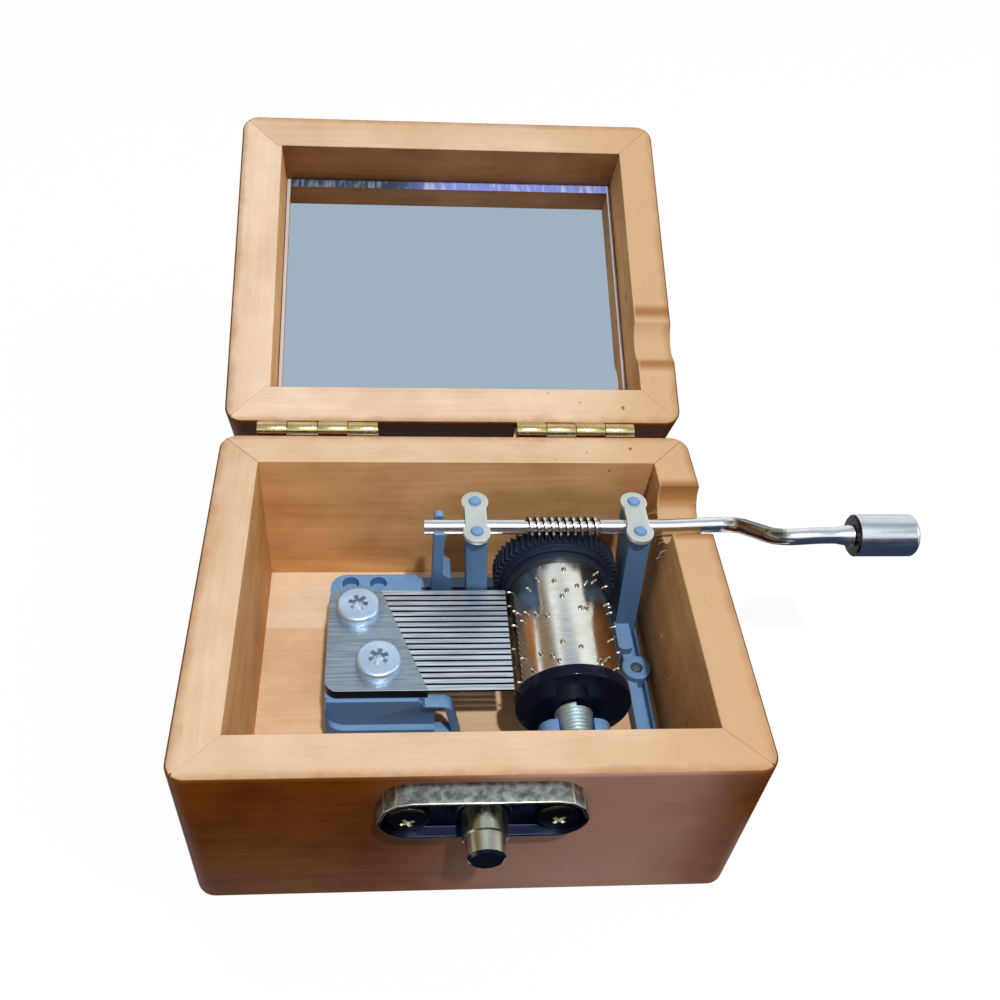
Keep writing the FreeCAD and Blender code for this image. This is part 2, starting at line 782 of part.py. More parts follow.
def crank_knob():
    """Metal grip that turns on the end of the crank rod, closed at its outer end."""
    throw = math.radians(crank_throw_angle)
    y = crank_shaft_y - crank_throw * math.cos(throw)
    z = shaft_z + crank_throw * math.sin(throw)
    grip = rod_x(knob_radius, knob_start, knob_start + knob_length, y, z)
    near = [e for e in grip.Edges if abs(e.BoundBox.XMax - knob_start) < 1e-6]
    far = [e for e in grip.Edges if abs(e.BoundBox.XMin - knob_start - knob_length) < 1e-6]
    grip = grip.makeChamfer(knob_near_edge, near)
    far = [e for e in grip.Edges if abs(e.BoundBox.XMin - knob_start - knob_length) < 1e-6]
    grip = grip.makeFillet(knob_edge_radius, far)
    bore_end = knob_start + knob_length - knob_end_wall
    bore = rod_x(shaft_radius + knob_clearance, knob_start - 1, bore_end, y, z)
    return grip.cut(bore)


# ---------------------------------------------------------------- comb
def tooth_root(track):
    """X of the root of a tooth: the teeth grow longer from the front to the back."""
    share = track / (tooth_count - 1)
    return short_tooth_root + (long_tooth_root - short_tooth_root) * share


def comb():
    """Steel comb: a thick plate with thin teeth of growing length, flush along the top."""
    back_root = tooth_root(tooth_count - 0.5)
    front_root = tooth_root(-0.5)
    plate = slab([(comb_left, comb_front, comb_corner_radius), (front_root, comb_front, 0),
                  (back_root, comb_back, 0), (comb_left, comb_back, comb_corner_radius)],
                 in_xy(comb_top - comb_thickness), V(0, 0, comb_thickness))
    pieces = [plate]
    lap = 0.6
    for track in range(tooth_count):
        y0 = comb_front + track * tooth_pitch + tooth_slot / 2
        y1 = y0 + tooth_pitch - tooth_slot
        if track == 0:
            y0 = comb_front
        if track == tooth_count - 1:
            y1 = comb_back
        root = tooth_root(track) - lap
        pieces.append(block(root, comb_tip_x, y0, y1, comb_top - tooth_thickness, comb_top))
    body = joined(pieces)
    for x, y in comb_screw_places:
        body = body.cut(rod_z(comb_screw_radius, bed_top - 1, comb_top + 1, x, y))
    return body


def comb_weights():
    """Lead weights under the tips of the long teeth, heavier towards the back."""
    weights = []
    for track in range(tooth_count - weighted_teeth, tooth_count):
        share = (track - (tooth_count - weighted_teeth)) / (weighted_teeth - 1)
        y0 = comb_front + track * tooth_pitch + tooth_slot / 2 + weight_gap / 2
        y1 = y0 + tooth_pitch - tooth_slot - weight_gap
        top = comb_top - tooth_thickness
        depth = weight_height * (0.5 + 0.5 * share)
        tip = comb_tip_x - 0.5
        corners = [(tip - weight_length, top, 0), (tip, top, 0), (tip - 0.2, top - depth, 0.15),
                   (tip - weight_length + 0.1, top - depth, 0.15)]
        weights.append(slab(corners, in_xz(y0), V(0, y1 - y0, 0)))
    return weights


def comb_screws():
    """Two pan-head screws that clamp the comb to its bed."""
    seat = comb_top
    top = comb_top + comb_screw_head_height
    foot = bed_top - comb_screw_depth + comb_thickness
    profile = [(0, foot), (comb_screw_radius * 0.7, foot), (comb_screw_radius, foot + 0.5),
               (comb_screw_radius, seat), (comb_screw_head_radius, seat),
               (comb_screw_head_radius, top - comb_screw_edge),
               (comb_screw_head_radius - comb_screw_edge, top), (0, top)]
    return [turned_z(profile, x, y) for x, y in comb_screw_places]


# ---------------------------------------------------------------- cast frame
def comb_bed():
    """Raised table under the comb plate, with a shelf behind it, on cast walls."""
    back = comb_back + bed_back_shelf
    front = comb_front
    back_root = tooth_root(tooth_count - 0.5)
    front_root = tooth_root(-0.5)
    table = slab([(comb_left, front, 0.4), (front_root, front, 0.4), (back_root, comb_back, 0.4),
                  (long_tooth_root + 5.4, comb_back + 0.6, 0.4), (long_tooth_root + 4.6, back, 0.4),
                  (comb_left, back, bed_corner_radius)],
                 in_xy(bed_top - bed_plate), V(0, 0, bed_plate))
    left_wall = block(comb_left, comb_left + cast_wall, front + 0.4, back - bed_corner_radius,
                      floor_thickness, bed_top - bed_plate)
    back_wall = block(comb_left + bed_corner_radius, long_tooth_root + 3.6, back - cast_wall, back,
                      floor_thickness, bed_top - bed_plate)
    pillars = [rod_z(comb_screw_head_radius * 0.9, bed_top - bed_plate - 2.8, bed_top - bed_plate / 2, x, y)
               for x, y in comb_screw_places]
    return [table, left_wall, back_wall] + pillars


def front_wall():
    """Front wall of the bed: a shelved recess, a V notch and a rounded lobe with a pocket, on a foot."""
    right = short_tooth_root + front_wall_run
    foot_right = right + front_wall_flare
    top = bed_top - wall_top_gap
    shelf = floor_thickness + front_shelf_height
    y1 = comb_front + cast_wall * 0.3
    y0 = y1 - cast_wall
    plate = slab([(comb_left, floor_thickness, 0), (foot_right, floor_thickness, 0), (foot_right, rail_top, 0),
                  (right, top, front_wall_corner), (comb_left, top, 0.5)],
                 in_xz(y0), V(0, cast_wall, 0))
    pocket_left = right - front_lobe_band - front_pocket_width
    deep = V(0, 1 + front_recess_depth, 0)
    recess = slab([(comb_left + front_recess_rim, shelf, front_recess_corner), (front_wall_notch_x, shelf, 0),
                   (front_wall_notch_x, top + 1, 0), (comb_left + front_recess_rim, top + 1, 0)],
                  in_xz(y0 - 1), deep)
    lobe_top = top - front_lobe_rim
    lobe = block(front_wall_notch_x - 1, pocket_left + 0.1, y0 - 1, y0 + front_recess_depth, shelf, lobe_top)
    slope = front_wall_flare / (top - rail_top)
    inner_top = right - front_lobe_band
    inner_bottom = inner_top + slope * (lobe_top - shelf + front_pocket_drop)
    pocket = slab([(pocket_left, shelf - front_pocket_drop, 0), (inner_bottom, shelf - front_pocket_drop, 0),
                   (inner_top, lobe_top, front_pocket_width * 0.8), (pocket_left, lobe_top, 0)],
                  in_xz(y0 - 1), V(0, cast_wall + 2, 0))
    notch = slab([(front_wall_notch_x - front_wall_notch, top + 0.1, 0),
                  (front_wall_notch_x, top - 1.4 * front_wall_notch, 0),
                  (front_wall_notch_x + front_wall_notch, top + 0.1, 0)],
                 in_xz(y0 - 1), V(0, cast_wall + 1, 0))
    foot = slab(rectangle(comb_left, foot_right, y0 - foot_reach, y1, 0.6), in_xy(floor_thickness),
                V(0, 0, rail_height))
    return [plate.cut([recess, lobe, pocket, notch]), foot]


def base_rails():
    """Low ring on the case floor that ties the bed, the front lug and the posts together."""
    right_inner = frame_right - rail_width
    front_bar = slab([(short_tooth_root + 1.0, frame_front + 3.4, 0.8), (lug_left(), frame_front, 0.8),
                      (frame_right, frame_front, 2.5), (frame_right, frame_front + rail_width, 0.6),
                      (lug_left() + 1.2, frame_front + rail_width, 0.6),
                      (short_tooth_root + 4.6, comb_front, 0.6),
                      (short_tooth_root + 1.0, comb_front, 0.3)],
                     in_xy(floor_thickness), V(0, 0, rail_height))
    side_bar = slab(rectangle(right_inner, frame_right, frame_front + 1.2, bearing_post_back, 0.8),
                    in_xy(floor_thickness), V(0, 0, rail_height))
    groove_right = frame_right - rail_rim_width
    groove = block(groove_right - rail_groove_width, groove_right, frame_front + 3, bearing_post_front,
                   rail_top - rail_groove_depth, rail_top + 1)
    side_bar = side_bar.cut(groove)
    ledge_left = right_post_x - post_width / 2 + post_lean - 0.35
    ledge = slab(rectangle(ledge_left, ledge_left + ledge_width, ledge_front, bearing_post_front + 1, 0.6),
                 in_xy(floor_thickness), V(0, 0, ledge_rise))
    back_bar_front = bearing_post_back - rear_wall_thickness - 0.6
    back_bar = slab(rectangle(comb_left + bed_link_left, frame_right, back_bar_front, bearing_post_back, 0.6),
                    in_xy(floor_thickness), V(0, 0, rail_height))
    link_sides = (comb_left + bed_link_left, comb_left + bed_link_right)
    link = slab(rectangle(*link_sides, comb_back, bearing_post_back, 0.6), in_xy(floor_thickness),
                V(0, 0, rail_height))
    return [front_bar, side_bar, ledge, back_bar, link]


def lug_left():
    """Left edge of the front lug."""
    return drum_x - lug_radius


def front_lug():
    """Forked lug that carries the front of the arbor and holds the spring between its ears."""
    ear_top = drum_z + lug_ear_rise
    corners = [(drum_x - lug_radius, floor_thickness, 0), (drum_x + lug_radius, floor_thickness, 0),
               (drum_x + lug_radius, ear_top, 2.1), (drum_x - lug_radius, ear_top, 2.1)]
    lug = slab(corners, in_xz(lug_front), V(0, lug_back - lug_front, 0))
    half = lug_slot / 2
    slot = slab([(drum_x - half, drum_z - half, half * 0.98), (drum_x + half, drum_z - half, half * 0.98),
                 (drum_x + half, closed_top, 0), (drum_x - half, closed_top, 0)],
                in_xz(lug_front + lug_wall), V(0, lug_back - lug_front, 0))
    bore = arbor_radius + bearing_clearance
    groove = slab([(drum_x - bore, drum_z, 0), (drum_x + bore, drum_z, 0), (drum_x + bore, closed_top, 0),
                   (drum_x - bore, closed_top, 0)],
                  in_xz(lug_front - 1), V(0, lug_wall + 2, 0))
    lug = lug.cut([slot, groove, rod_y(bore, lug_front - 1, lug_back, drum_x, drum_z)])
    return lug


def rear_bearing():
    """Low rear wall with a round hump that carries the back of the arbor."""
    y0 = bearing_post_back - rear_wall_thickness
    left = long_tooth_root + 3.6
    wall_top = floor_thickness + rear_wall_height
    low = slab([(left, floor_thickness, 0), (frame_right - 0.3, floor_thickness, 0),
                (frame_right - 0.3, wall_top, 0.8), (left, wall_top, 0.8)],
               in_xz(y0), V(0, rear_wall_thickness, 0))
    neck = block(drum_x - rear_bearing_radius, drum_x + rear_bearing_radius, y0, bearing_post_back,
                 wall_top - 1, drum_z)
    hump = rod_y(rear_bearing_radius, y0, bearing_post_back, drum_x, drum_z)
    body = joined([low, neck, hump])
    return body.cut(rod_y(arbor_radius + bearing_clearance, y0 - 1, bearing_post_back + 1, drum_x, drum_z))


def rivet_places(x):
    """Places of the two rivet studs of one bearing plate."""
    middle = crank_shaft_y + rivet_shift
    return [(x, middle - rivet_spacing / 2), (x, middle + rivet_spacing / 2)]


def bearing_post(x):
    """Upright post leaning outwards to its foot, with a saddle for the shaft and two peened studs on top."""
    half = post_width / 2
    seat = plate_bottom
    corners = [(x - half + post_lean, floor_thickness, 0), (x + half + post_lean, floor_thickness, 0),
               (x + half, seat, 0.3), (x - half, seat, 0.3)]
    post = slab(corners, in_xz(bearing_post_front), V(0, bearing_post_back - bearing_post_front, 0))
    bore = shaft_radius + bearing_clearance
    saddle = slab([(crank_shaft_y - bore, shaft_z, 0), (crank_shaft_y + bore, shaft_z, 0),
                   (crank_shaft_y + bore, seat + 1, 0), (crank_shaft_y - bore, seat + 1, 0)],
                  in_yz(x - post_width), V(2 * post_width, 0, 0))
    post = post.cut([saddle, rod_x(bore, x - post_width, x + post_width, crank_shaft_y, shaft_z)])
    lean_back = slab([(bearing_post_back - 2.4, floor_thickness + rear_wall_height, 0),
                      (bearing_post_back + 1, floor_thickness + rear_wall_height, 0),
                      (bearing_post_back + 1, seat - 4.0, 0), (bearing_post_back - 0.2, seat - 3.0, 0)],
                     in_yz(x - post_width), V(2 * post_width, 0, 0))
    post = post.cut(lean_back)
    studs = []
    for stud_x, stud_y in rivet_places(x):
        top = seat + plate_thickness
        profile = [(0, seat - 0.5), (rivet_radius, seat - 0.5), (rivet_radius, top), (rivet_head_radius, top),
                   (rivet_head_radius * 0.8, top + rivet_head_height * 0.7), (0, top + rivet_head_height)]
        studs.append(turned_z(profile, stud_x, stud_y))
    return [post] + studs


def shaft_finger():
    """Slim post at the left end of the shaft: a saddle with a low front prong and a tall rear one."""
    prong = shaft_z + finger_prong_rise
    step = shaft_z - finger_step_drop
    right = finger_left + finger_width
    foot_right = finger_left + finger_foot_width
    body = slab([(finger_left, floor_thickness, 0), (foot_right, floor_thickness, 0), (foot_right, step, 0.3),
                 (right, step + 0.9, 0.3), (right, prong, 0), (finger_left, prong, 0)],
                in_xz(finger_front), V(0, finger_back - finger_front, 0))
    tip = slab([(finger_left, prong - 1, 0), (right, prong - 1, 0),
                (right, shaft_z + finger_tip_rise, finger_width * 0.45),
                (finger_left, shaft_z + finger_tip_rise, finger_width * 0.45)],
               in_xz(crank_shaft_y), V(0, finger_back - crank_shaft_y, 0))
    bore = shaft_radius + bearing_clearance
    saddle = block(finger_left - 1, right + 1, crank_shaft_y - bore, crank_shaft_y + bore, shaft_z, closed_top)
    finger = joined([body, tip])
    finger = finger.cut([saddle, rod_x(bore, finger_left - 1, right + 1, crank_shaft_y, shaft_z)])
    foot = block(finger_left, foot_right, finger_front, bearing_post_back - 0.2, floor_thickness, rail_top + 1)
    return [finger, foot]


def movement_frame():
    """The one-piece zinc casting that everything in the movement is mounted on."""
    pieces = comb_bed() + front_wall() + base_rails() + [front_lug(), rear_bearing()]
    pieces += bearing_post(left_post_x)
    pieces += bearing_post(right_post_x)
    pieces += shaft_finger()
    for x, y in case_screw_places:
        pieces.append(rod_z(boss_radius, floor_thickness, floor_thickness + boss_height, x, y))
    frame = joined(pieces)
    comb_hole_foot = bed_top - comb_screw_depth + comb_thickness
    for x, y in comb_screw_places:
        frame = frame.cut(rod_z(comb_screw_radius, comb_hole_foot, bed_top + 1, x, y))
    boss_top = floor_thickness + boss_height
    for x, y in case_screw_places:
        frame = frame.cut(rod_z(case_screw_radius, floor_thickness - 1, boss_top + 1, x, y))
    for x in shelf_hole_places:
        shelf_y = comb_back + bed_back_shelf * 0.62
        frame = frame.cut(rod_z(shelf_hole_radius, bed_top - shelf_hole_depth, bed_top + 1, x, shelf_y))
    return frame


def case_screws():
    """Three screws driven up through the case floor into the frame."""
    tip = floor_thickness + boss_height - case_screw_tip_drop
    seat = case_screw_sink + case_screw_head_height
    profile = [(0, case_screw_sink), (case_screw_head_radius, case_screw_sink), (case_screw_head_radius, seat),
               (case_screw_radius, seat), (case_screw_radius, tip - 0.4),
               (case_screw_radius * 0.6, tip), (0, tip)]
    return [turned_z(profile, x, y) for x, y in case_screw_places]


def bearing_plate(x):
    """Waisted plate riveted over a bearing post to keep the shaft down."""
    front, back = [y for _, y in rivet_places(x)]
    thick = V(0, 0, plate_thickness)
    top = plate_bottom + plate_thickness
    ends = [rod_z(plate_end_radius, plate_bottom, top, x, y) for y in (front, back)]
    outline = rectangle(x - plate_waist_half, x + plate_waist_half, front, back, 0)
    waist = slab(outline, in_xy(plate_bottom), thick)
    plate = joined([waist] + ends)
    for hole_x, hole_y in rivet_places(x):
        plate = plate.cut(rod_z(rivet_radius, plate_bottom - 1, plate_bottom + 2, hole_x, hole_y))
    return plate


# ---------------------------------------------------------------- export
def in_case(shapes):
    """Pieces of the movement, set in the case at their fixed distance from the right-hand wall."""
    placed = []
    for shape in shapes if isinstance(shapes, list) else [shapes]:
        piece = shape.copy()
        piece.translate(V(movement_x, 0, 0))
        placed.append(piece)
    return placed


def save(name, shape):
    """Write one node; a list becomes a group of separate solids."""
    solids = shape if isinstance(shape, list) else [shape]
    whole = Part.makeCompound(solids) if len(solids) > 1 else solids[0]
    if not whole.isValid():
        raise ValueError(name + " is not a valid shape")
    whole.exportStep("parts/" + name + ".step")
    print(name, len(whole.Solids), round(sum(s.Volume for s in whole.Solids), 3))


def main():
    """Build every node and write its STEP file."""
    os.makedirs("parts", exist_ok=True)
    for side, board in base_boards().items():
        save("base_" + side + "_board", board)
    save("base_floor_board", floor_board())
    for side, board in lid_boards().items():
        save("lid_" + side + "_board", swung_open(board))
    save("lid_top_panel", swung_open(lid_panel()))
    save("lid_mirror", swung_open(lid_mirror()))
    save("hinge_base_leaves", hinge_leaves(False))
    save("hinge_lid_leaves", [swung_open(leaf) for leaf in hinge_leaves(True)])
    save("hinge_pins", hinge_pins())
    save("base_hinge_nails", nails(base_height - nail_drop))
    save("lid_hinge_nails", [swung_open(one) for one in nails(base_height + nail_drop)])
    save("catch_plate", catch_plate())
    save("catch_post", catch_post())
    save("catch_screws", catch_screws())
    save("drum_shell", in_case(drum_shell()))
    save("drum_pins", in_case(drum_pins()))
    save("worm_wheel", in_case(worm_wheel()))
    save("drum_end_cap", in_case(drum_end_cap()))
    save("drum_arbor", in_case(drum_arbor()))
    save("arbor_spring", in_case(arbor_spring()))
    save("crank_rod", in_case(crank_rod()))
    save("crank_knob", in_case(crank_knob()))
    save("comb", in_case(comb()))
    save("comb_weights", in_case(comb_weights()))
    save("comb_screws", in_case(comb_screws()))
    save("movement_frame", in_case(movement_frame()))
    save("case_screws", in_case(case_screws()))
    save("bearing_plates", in_case([bearing_plate(left_post_x), bearing_plate(right_post_x)]))


main()
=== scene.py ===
import functools
import json
import logging
import math
import random
from collections.abc import Callable
from dataclasses import dataclass
from enum import Enum
from typing import NamedTuple

import bmesh
import bpy
from mathutils import Euler, Matrix, Vector


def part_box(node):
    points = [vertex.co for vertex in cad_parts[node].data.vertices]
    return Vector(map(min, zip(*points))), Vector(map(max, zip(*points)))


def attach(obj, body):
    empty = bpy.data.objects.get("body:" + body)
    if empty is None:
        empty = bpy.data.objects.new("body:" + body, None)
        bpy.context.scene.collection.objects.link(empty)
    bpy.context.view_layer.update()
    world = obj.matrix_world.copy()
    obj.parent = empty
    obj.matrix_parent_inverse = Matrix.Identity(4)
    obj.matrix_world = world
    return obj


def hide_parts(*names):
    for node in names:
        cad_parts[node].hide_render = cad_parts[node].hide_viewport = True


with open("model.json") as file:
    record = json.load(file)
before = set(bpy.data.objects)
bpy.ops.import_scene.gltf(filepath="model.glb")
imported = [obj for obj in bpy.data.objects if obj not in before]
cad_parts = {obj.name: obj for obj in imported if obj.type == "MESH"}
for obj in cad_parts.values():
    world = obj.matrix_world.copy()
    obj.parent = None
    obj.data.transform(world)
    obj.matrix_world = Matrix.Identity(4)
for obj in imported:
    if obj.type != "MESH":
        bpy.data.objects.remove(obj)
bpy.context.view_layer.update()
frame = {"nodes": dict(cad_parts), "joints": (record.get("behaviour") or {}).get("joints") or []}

# Hand-cranked comb music box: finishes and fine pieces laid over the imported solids.
# Lengths are in millimetres here and become metres through MM where a mesh is made.

Pair = tuple[float, float]
Triple = tuple[float, float, float]
Tones = tuple[Triple, Triple]
Profile = list[Pair]
Mesh = bmesh.types.BMesh
Node = bpy.types.Node
Socket = bpy.types.NodeSocket
Outputs = bpy.types.NodeOutputs
Material = bpy.types.Material

MM = 0.001
TO_MM = 1000.0
MERGE_GAP = 0.002 * MM
SEAM_GAP = 1e-4
FLAT_ANGLE = math.radians(0.8)
SMOOTH_DEGREES = 32.0
QUARTER_TURN = math.pi / 2
UP = Vector((0.0, 0.0, 1.0))
TO_FRONT = Vector((0.0, -1.0, 0.0))

# Dark and light tones of the uncoated wood: on the rims, then on the walls. The walls are browner than the
# rims, partly as unsanded wood and partly as painted shade and bounce light of the inside.
BASE_RAW: Tones = ((0.640, 0.405, 0.245), (0.790, 0.562, 0.380))
# The lid's and the floor's rim tones are lighter than the base's as painted light.
LID_RAW_LIGHTENED: Tones = ((0.705, 0.475, 0.310), (0.865, 0.660, 0.485))
FLOOR_RAW_LIGHTENED: Tones = ((0.755, 0.550, 0.370), (0.930, 0.770, 0.585))
LIT_WALL: Tones = ((0.56, 0.275, 0.100), (0.86, 0.50, 0.225))
# A copy of the wall tones painted as shade, for walls that face away from the light.
SHADED_WALL: Tones = ((0.25, 0.098, 0.032), (0.42, 0.195, 0.080))

log = logging.getLogger("music_box")


class Body(Enum):
    """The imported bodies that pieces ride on."""

    BASE = "base"
    LID = "lid"
    CRANK = "crank"
    KNOB = "knob"
    DRUM = "drum"


class Grain(Enum):
    """Direction in which a board's grain runs, as the turn that lays it along X."""

    ALONG_X = 0.0
    ALONG_Y = QUARTER_TURN


class Brushed(Enum):
    """How a metal surface was ground: the stretch of its scratches along X, Y and Z."""

    NOT = (1.0, 1.0, 1.0)
    ALONG_X = (0.04, 1.0, 1.0)
    ALONG_Y = (1.0, 0.04, 1.0)
    ROUND_Y = (0.06, 1.0, 0.06)


class Facet(NamedTuple):
    """A face's centre in millimetres and its normal."""

    centre: Vector
    normal: Vector


FacetShare = Callable[[Facet], float]


# ---------------------------------------------------------------- places read from the frame
def joint_named(name: str) -> dict:
    """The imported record's entry of a joint."""
    return next(joint for joint in frame["joints"] if joint["name"] == name)


@functools.cache
def box_mm(node: str) -> tuple[Vector, Vector]:
    """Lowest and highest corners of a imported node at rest, in millimetres."""
    low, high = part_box(node)
    return low * TO_MM, high * TO_MM


LID_JOINT = joint_named("lid_hinge")
LID_SHUT_ANGLE = math.radians(LID_JOINT["range_deg"][1])
HINGE_POINT = Vector(LID_JOINT["pos_m"]) * TO_MM
TO_HINGE = Matrix.Translation(HINGE_POINT)
SHUT = TO_HINGE @ Matrix.Rotation(LID_SHUT_ANGLE, 4, "X") @ TO_HINGE.inverted()
DRUM_AXIS = Vector(joint_named("drum_spin")["pos_m"]) * TO_MM


# ---------------------------------------------------------------- mesh helpers
def merged_copy(node: str) -> Mesh:
    """A welded copy of a CAD node's mesh.

    Args:
        node: name of the CAD node.

    Returns:
        A bmesh in metres whose doubled corners are merged.
    """
    bm = bmesh.new()
    bm.from_mesh(frame["nodes"][node].data)
    bmesh.ops.remove_doubles(bm, verts=bm.verts, dist=MERGE_GAP)
    return bm


def flatten_facets(bm: Mesh) -> None:
    """Join coplanar triangles into whole faces."""
    bmesh.ops.dissolve_limit(bm, angle_limit=FLAT_ANGLE, verts=bm.verts, edges=bm.edges, delimit={"NORMAL"})


def facet_of(face: bmesh.types.BMFace) -> Facet:
    """Centre and normal of a face whose mesh is in metres."""
    return Facet(face.calc_center_median() * TO_MM, face.normal)


def number_layer(bm: Mesh, name: str) -> bmesh.types.BMLayerItem:
    """The faces' number attribute of that name, made if it is missing."""
    return bm.faces.layers.float.get(name) or bm.faces.layers.float.new(name)


def mark_faces(bm: Mesh, name: str, share: FacetShare) -> None:
    """Fill a number attribute of the faces from their place and normal.

    Args:
        bm: the mesh in metres.
        name: the attribute's name.
        share: gives each face's number.
    """
    layer = number_layer(bm, name)
    for face in bm.faces:
        face[layer] = share(facet_of(face))


def bevel_edges(bm: Mesh, width: float, sharper_than: float, segments: int) -> list[bmesh.types.BMFace]:
    """Bevel the sharp edges.

    Args:
        bm: the mesh, with whole flat faces.
        width: width of the bevel in millimetres.
        sharper_than: edges whose faces meet at more degrees than this are bevelled.
        segments: number of faces across the bevel.

    Returns:
        The new faces.
    """
    limit = math.radians(sharper_than)
    sharp = [e for e in bm.edges if len(e.link_faces) == 2 and e.calc_face_angle(0.0) > limit]
    made = bmesh.ops.bevel(
        bm,
        geom=sharp,
        offset=width * MM,
        offset_type="OFFSET",
        segments=segments,
        profile=0.5,
        affect="EDGES",
        clamp_overlap=True,
        material=-1,
    )
    return made["faces"]


def divide_at(bm: Mesh, point: Vector, normal: Vector) -> None:
    """Divide the faces that a plane crosses; its point is in millimetres."""
    everything = bm.verts[:] + bm.edges[:] + bm.faces[:]
    bmesh.ops.bisect_plane(bm, geom=everything, plane_co=point * MM, plane_no=normal)


def shade_by_angle(bm: Mesh, degrees: float = SMOOTH_DEGREES) -> None:
    """Shade round stretches smooth and keep the sharper edges crisp.

    Args:
        bm: the mesh to shade.
        degrees: edges whose faces meet at more than this stay sharp.
    """
    for face in bm.faces:
        face.smooth = True
    for edge in bm.edges:
        edge.smooth = len(edge.link_faces) == 2 and edge.calc_face_angle(0.0) < math.radians(degrees)


def rounded(radius: float, top: float, edge: float, steps: int) -> Profile:
    """Profile points of a rounded upper edge.

    Args:
        radius: radius of the wall below it.
        top: height of the flat above it.
        edge: radius of the rounding.
        steps: number of faces across it.

    Returns:
        (radius, height) points from the wall to the flat.
    """
    turns = [QUARTER_TURN * step / steps for step in range(steps + 1)]
    return [(radius - edge + edge * math.cos(turn), top - edge + edge * math.sin(turn)) for turn in turns]


def turned(profile: Profile, steps: int) -> Mesh:
    """Turn a profile once round the Z axis.

    Args:
        profile: (radius, height) points, from the foot to the top.
        steps: number of faces round the axis.

    Returns:
        A closed bmesh in the profile's own unit.
    """
    bm = bmesh.new()
    corners = [bm.verts.new(Vector((radius, 0.0, height))) for radius, height in profile]
    edges = [bm.edges.new(pair) for pair in zip(corners, corners[1:])]
    bmesh.ops.spin(
        bm,
        geom=corners + edges,
        cent=(0.0, 0.0, 0.0),
        axis=(0.0, 0.0, 1.0),
        angle=math.tau,
        steps=steps,
        use_merge=True,
    )
    bmesh.ops.remove_doubles(bm, verts=bm.verts, dist=SEAM_GAP)
    bmesh.ops.recalc_face_normals(bm, faces=bm.faces)
    return bm


def to_metres(bm: Mesh, place: Matrix) -> Mesh:
    """Take a mesh in millimetres to its place, in metres."""
    bmesh.ops.transform(bm, matrix=Matrix.Scale(MM, 4) @ place, verts=bm.verts)
    return bm


def pointing(place: Vector, direction: Vector, turn: float = 0.0) -> Matrix:
    """Matrix that stands a piece's Z axis along a direction, turned about it beforehand."""
    stand = direction.to_track_quat("Z", "Y").to_matrix().to_4x4()
    return Matrix.Translation(place) @ stand @ Matrix.Rotation(turn, 4, "Z")


def solids_of(node: str) -> list[list[Vector]]:
    """Corner points of each separate solid of a CAD node.

    Args:
        node: name of the CAD node.

    Returns:
        One list of points in millimetres for each solid.
    """
    bm = merged_copy(node)
    left = set(bm.verts)
    solids = []
    while left:
        reached = [left.pop()]
        for vert in reached:
            for edge in vert.link_edges:
                other = edge.other_vert(vert)
                if other in left:
                    left.discard(other)
                    reached.append(other)
        solids.append([vert.co * TO_MM for vert in reached])
    bm.free()
    return solids


def middle_of(points: list[Vector]) -> Vector:
    """Middle of the box round some points.

    Args:
        points: the points.

    Returns:
        The middle.
    """
    low = Vector(min(point[axis] for point in points) for axis in range(3))
    high = Vector(max(point[axis] for point in points) for axis in range(3))
    return (low + high) / 2


def middles_of(node: str) -> list[Vector]:
    """Middles of a node's separate solids, from the front to the back."""
    return sorted((middle_of(points) for points in solids_of(node)), key=lambda middle: (middle.y, middle.x))


def mesh_from(name: str, bm: Mesh) -> bpy.types.Mesh:
    """Make a mesh of a bmesh and free the bmesh.

    Args:
        name: name of the mesh.
        bm: the bmesh.

    Returns:
        The new mesh.
    """
    mesh = bpy.data.meshes.new(name)
    bm.to_mesh(mesh)
    bm.free()
    return mesh


def object_from(name: str, bm: Mesh) -> bpy.types.Object:
    """Make a scene object of a bmesh and free the bmesh.

    Args:
        name: name of the object.
        bm: its mesh in metres, in place.

    Returns:
        The new object.
    """
    made = bpy.data.objects.new(name, mesh_from(name, bm))
    bpy.context.scene.collection.objects.link(made)
    return made


def joined(parts: list[Mesh], degrees: float = SMOOTH_DEGREES) -> Mesh:
    """Put several bmeshes into one that is shaded by angle, and free them.

    Args:
        parts: the meshes to put together.
        degrees: edges whose faces meet at more than this stay sharp.

    Returns:
        The one bmesh.
    """
    whole = bmesh.new()
    for part in parts:
        spare = mesh_from("spare", part)
        whole.from_mesh(spare)
        bpy.data.meshes.remove(spare)
    shade_by_angle(whole, degrees)
    return whole


def carved(solid: Mesh, cutter: Mesh) -> Mesh:
    """Cut one closed shape out of another.

    Args:
        solid: the shape that keeps its outside.
        cutter: the shape taken away.

    Returns:
        The carved shape.
    """
    holders = [object_from("carving", part) for part in (solid, cutter)]
    cut = holders[0].modifiers.new("cut", "BOOLEAN")
    cut.operation = "DIFFERENCE"
    cut.solver = "EXACT"
    cut.use_self = True
    cut.object = holders[1]
    bpy.context.view_layer.update()
    evaluated = holders[0].evaluated_get(bpy.context.evaluated_depsgraph_get())
    result = bmesh.new()
    result.from_mesh(evaluated.to_mesh())
    evaluated.to_mesh_clear()
    for holder in holders:
        bpy.data.meshes.remove(holder.data)
    return result


def settle(name: str, bm: Mesh, body: Body, slot: str, finish: "Finish", *stands_for: str) -> None:
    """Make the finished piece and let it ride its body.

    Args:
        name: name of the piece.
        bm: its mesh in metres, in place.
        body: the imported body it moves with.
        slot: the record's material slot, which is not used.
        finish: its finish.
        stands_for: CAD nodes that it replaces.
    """
    piece = object_from(name, bm)
    mesh = piece.data
    stale = mesh.attributes.get("custom_normal")
    if stale is not None:
        mesh.attributes.remove(stale)
    mesh.materials.clear()
    mesh.materials.append(finish.material())
    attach(piece, body.value)
    if stands_for:
        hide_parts(*stands_for)
    log.info("%s: %d faces on %s", name, len(mesh.polygons), body.value)


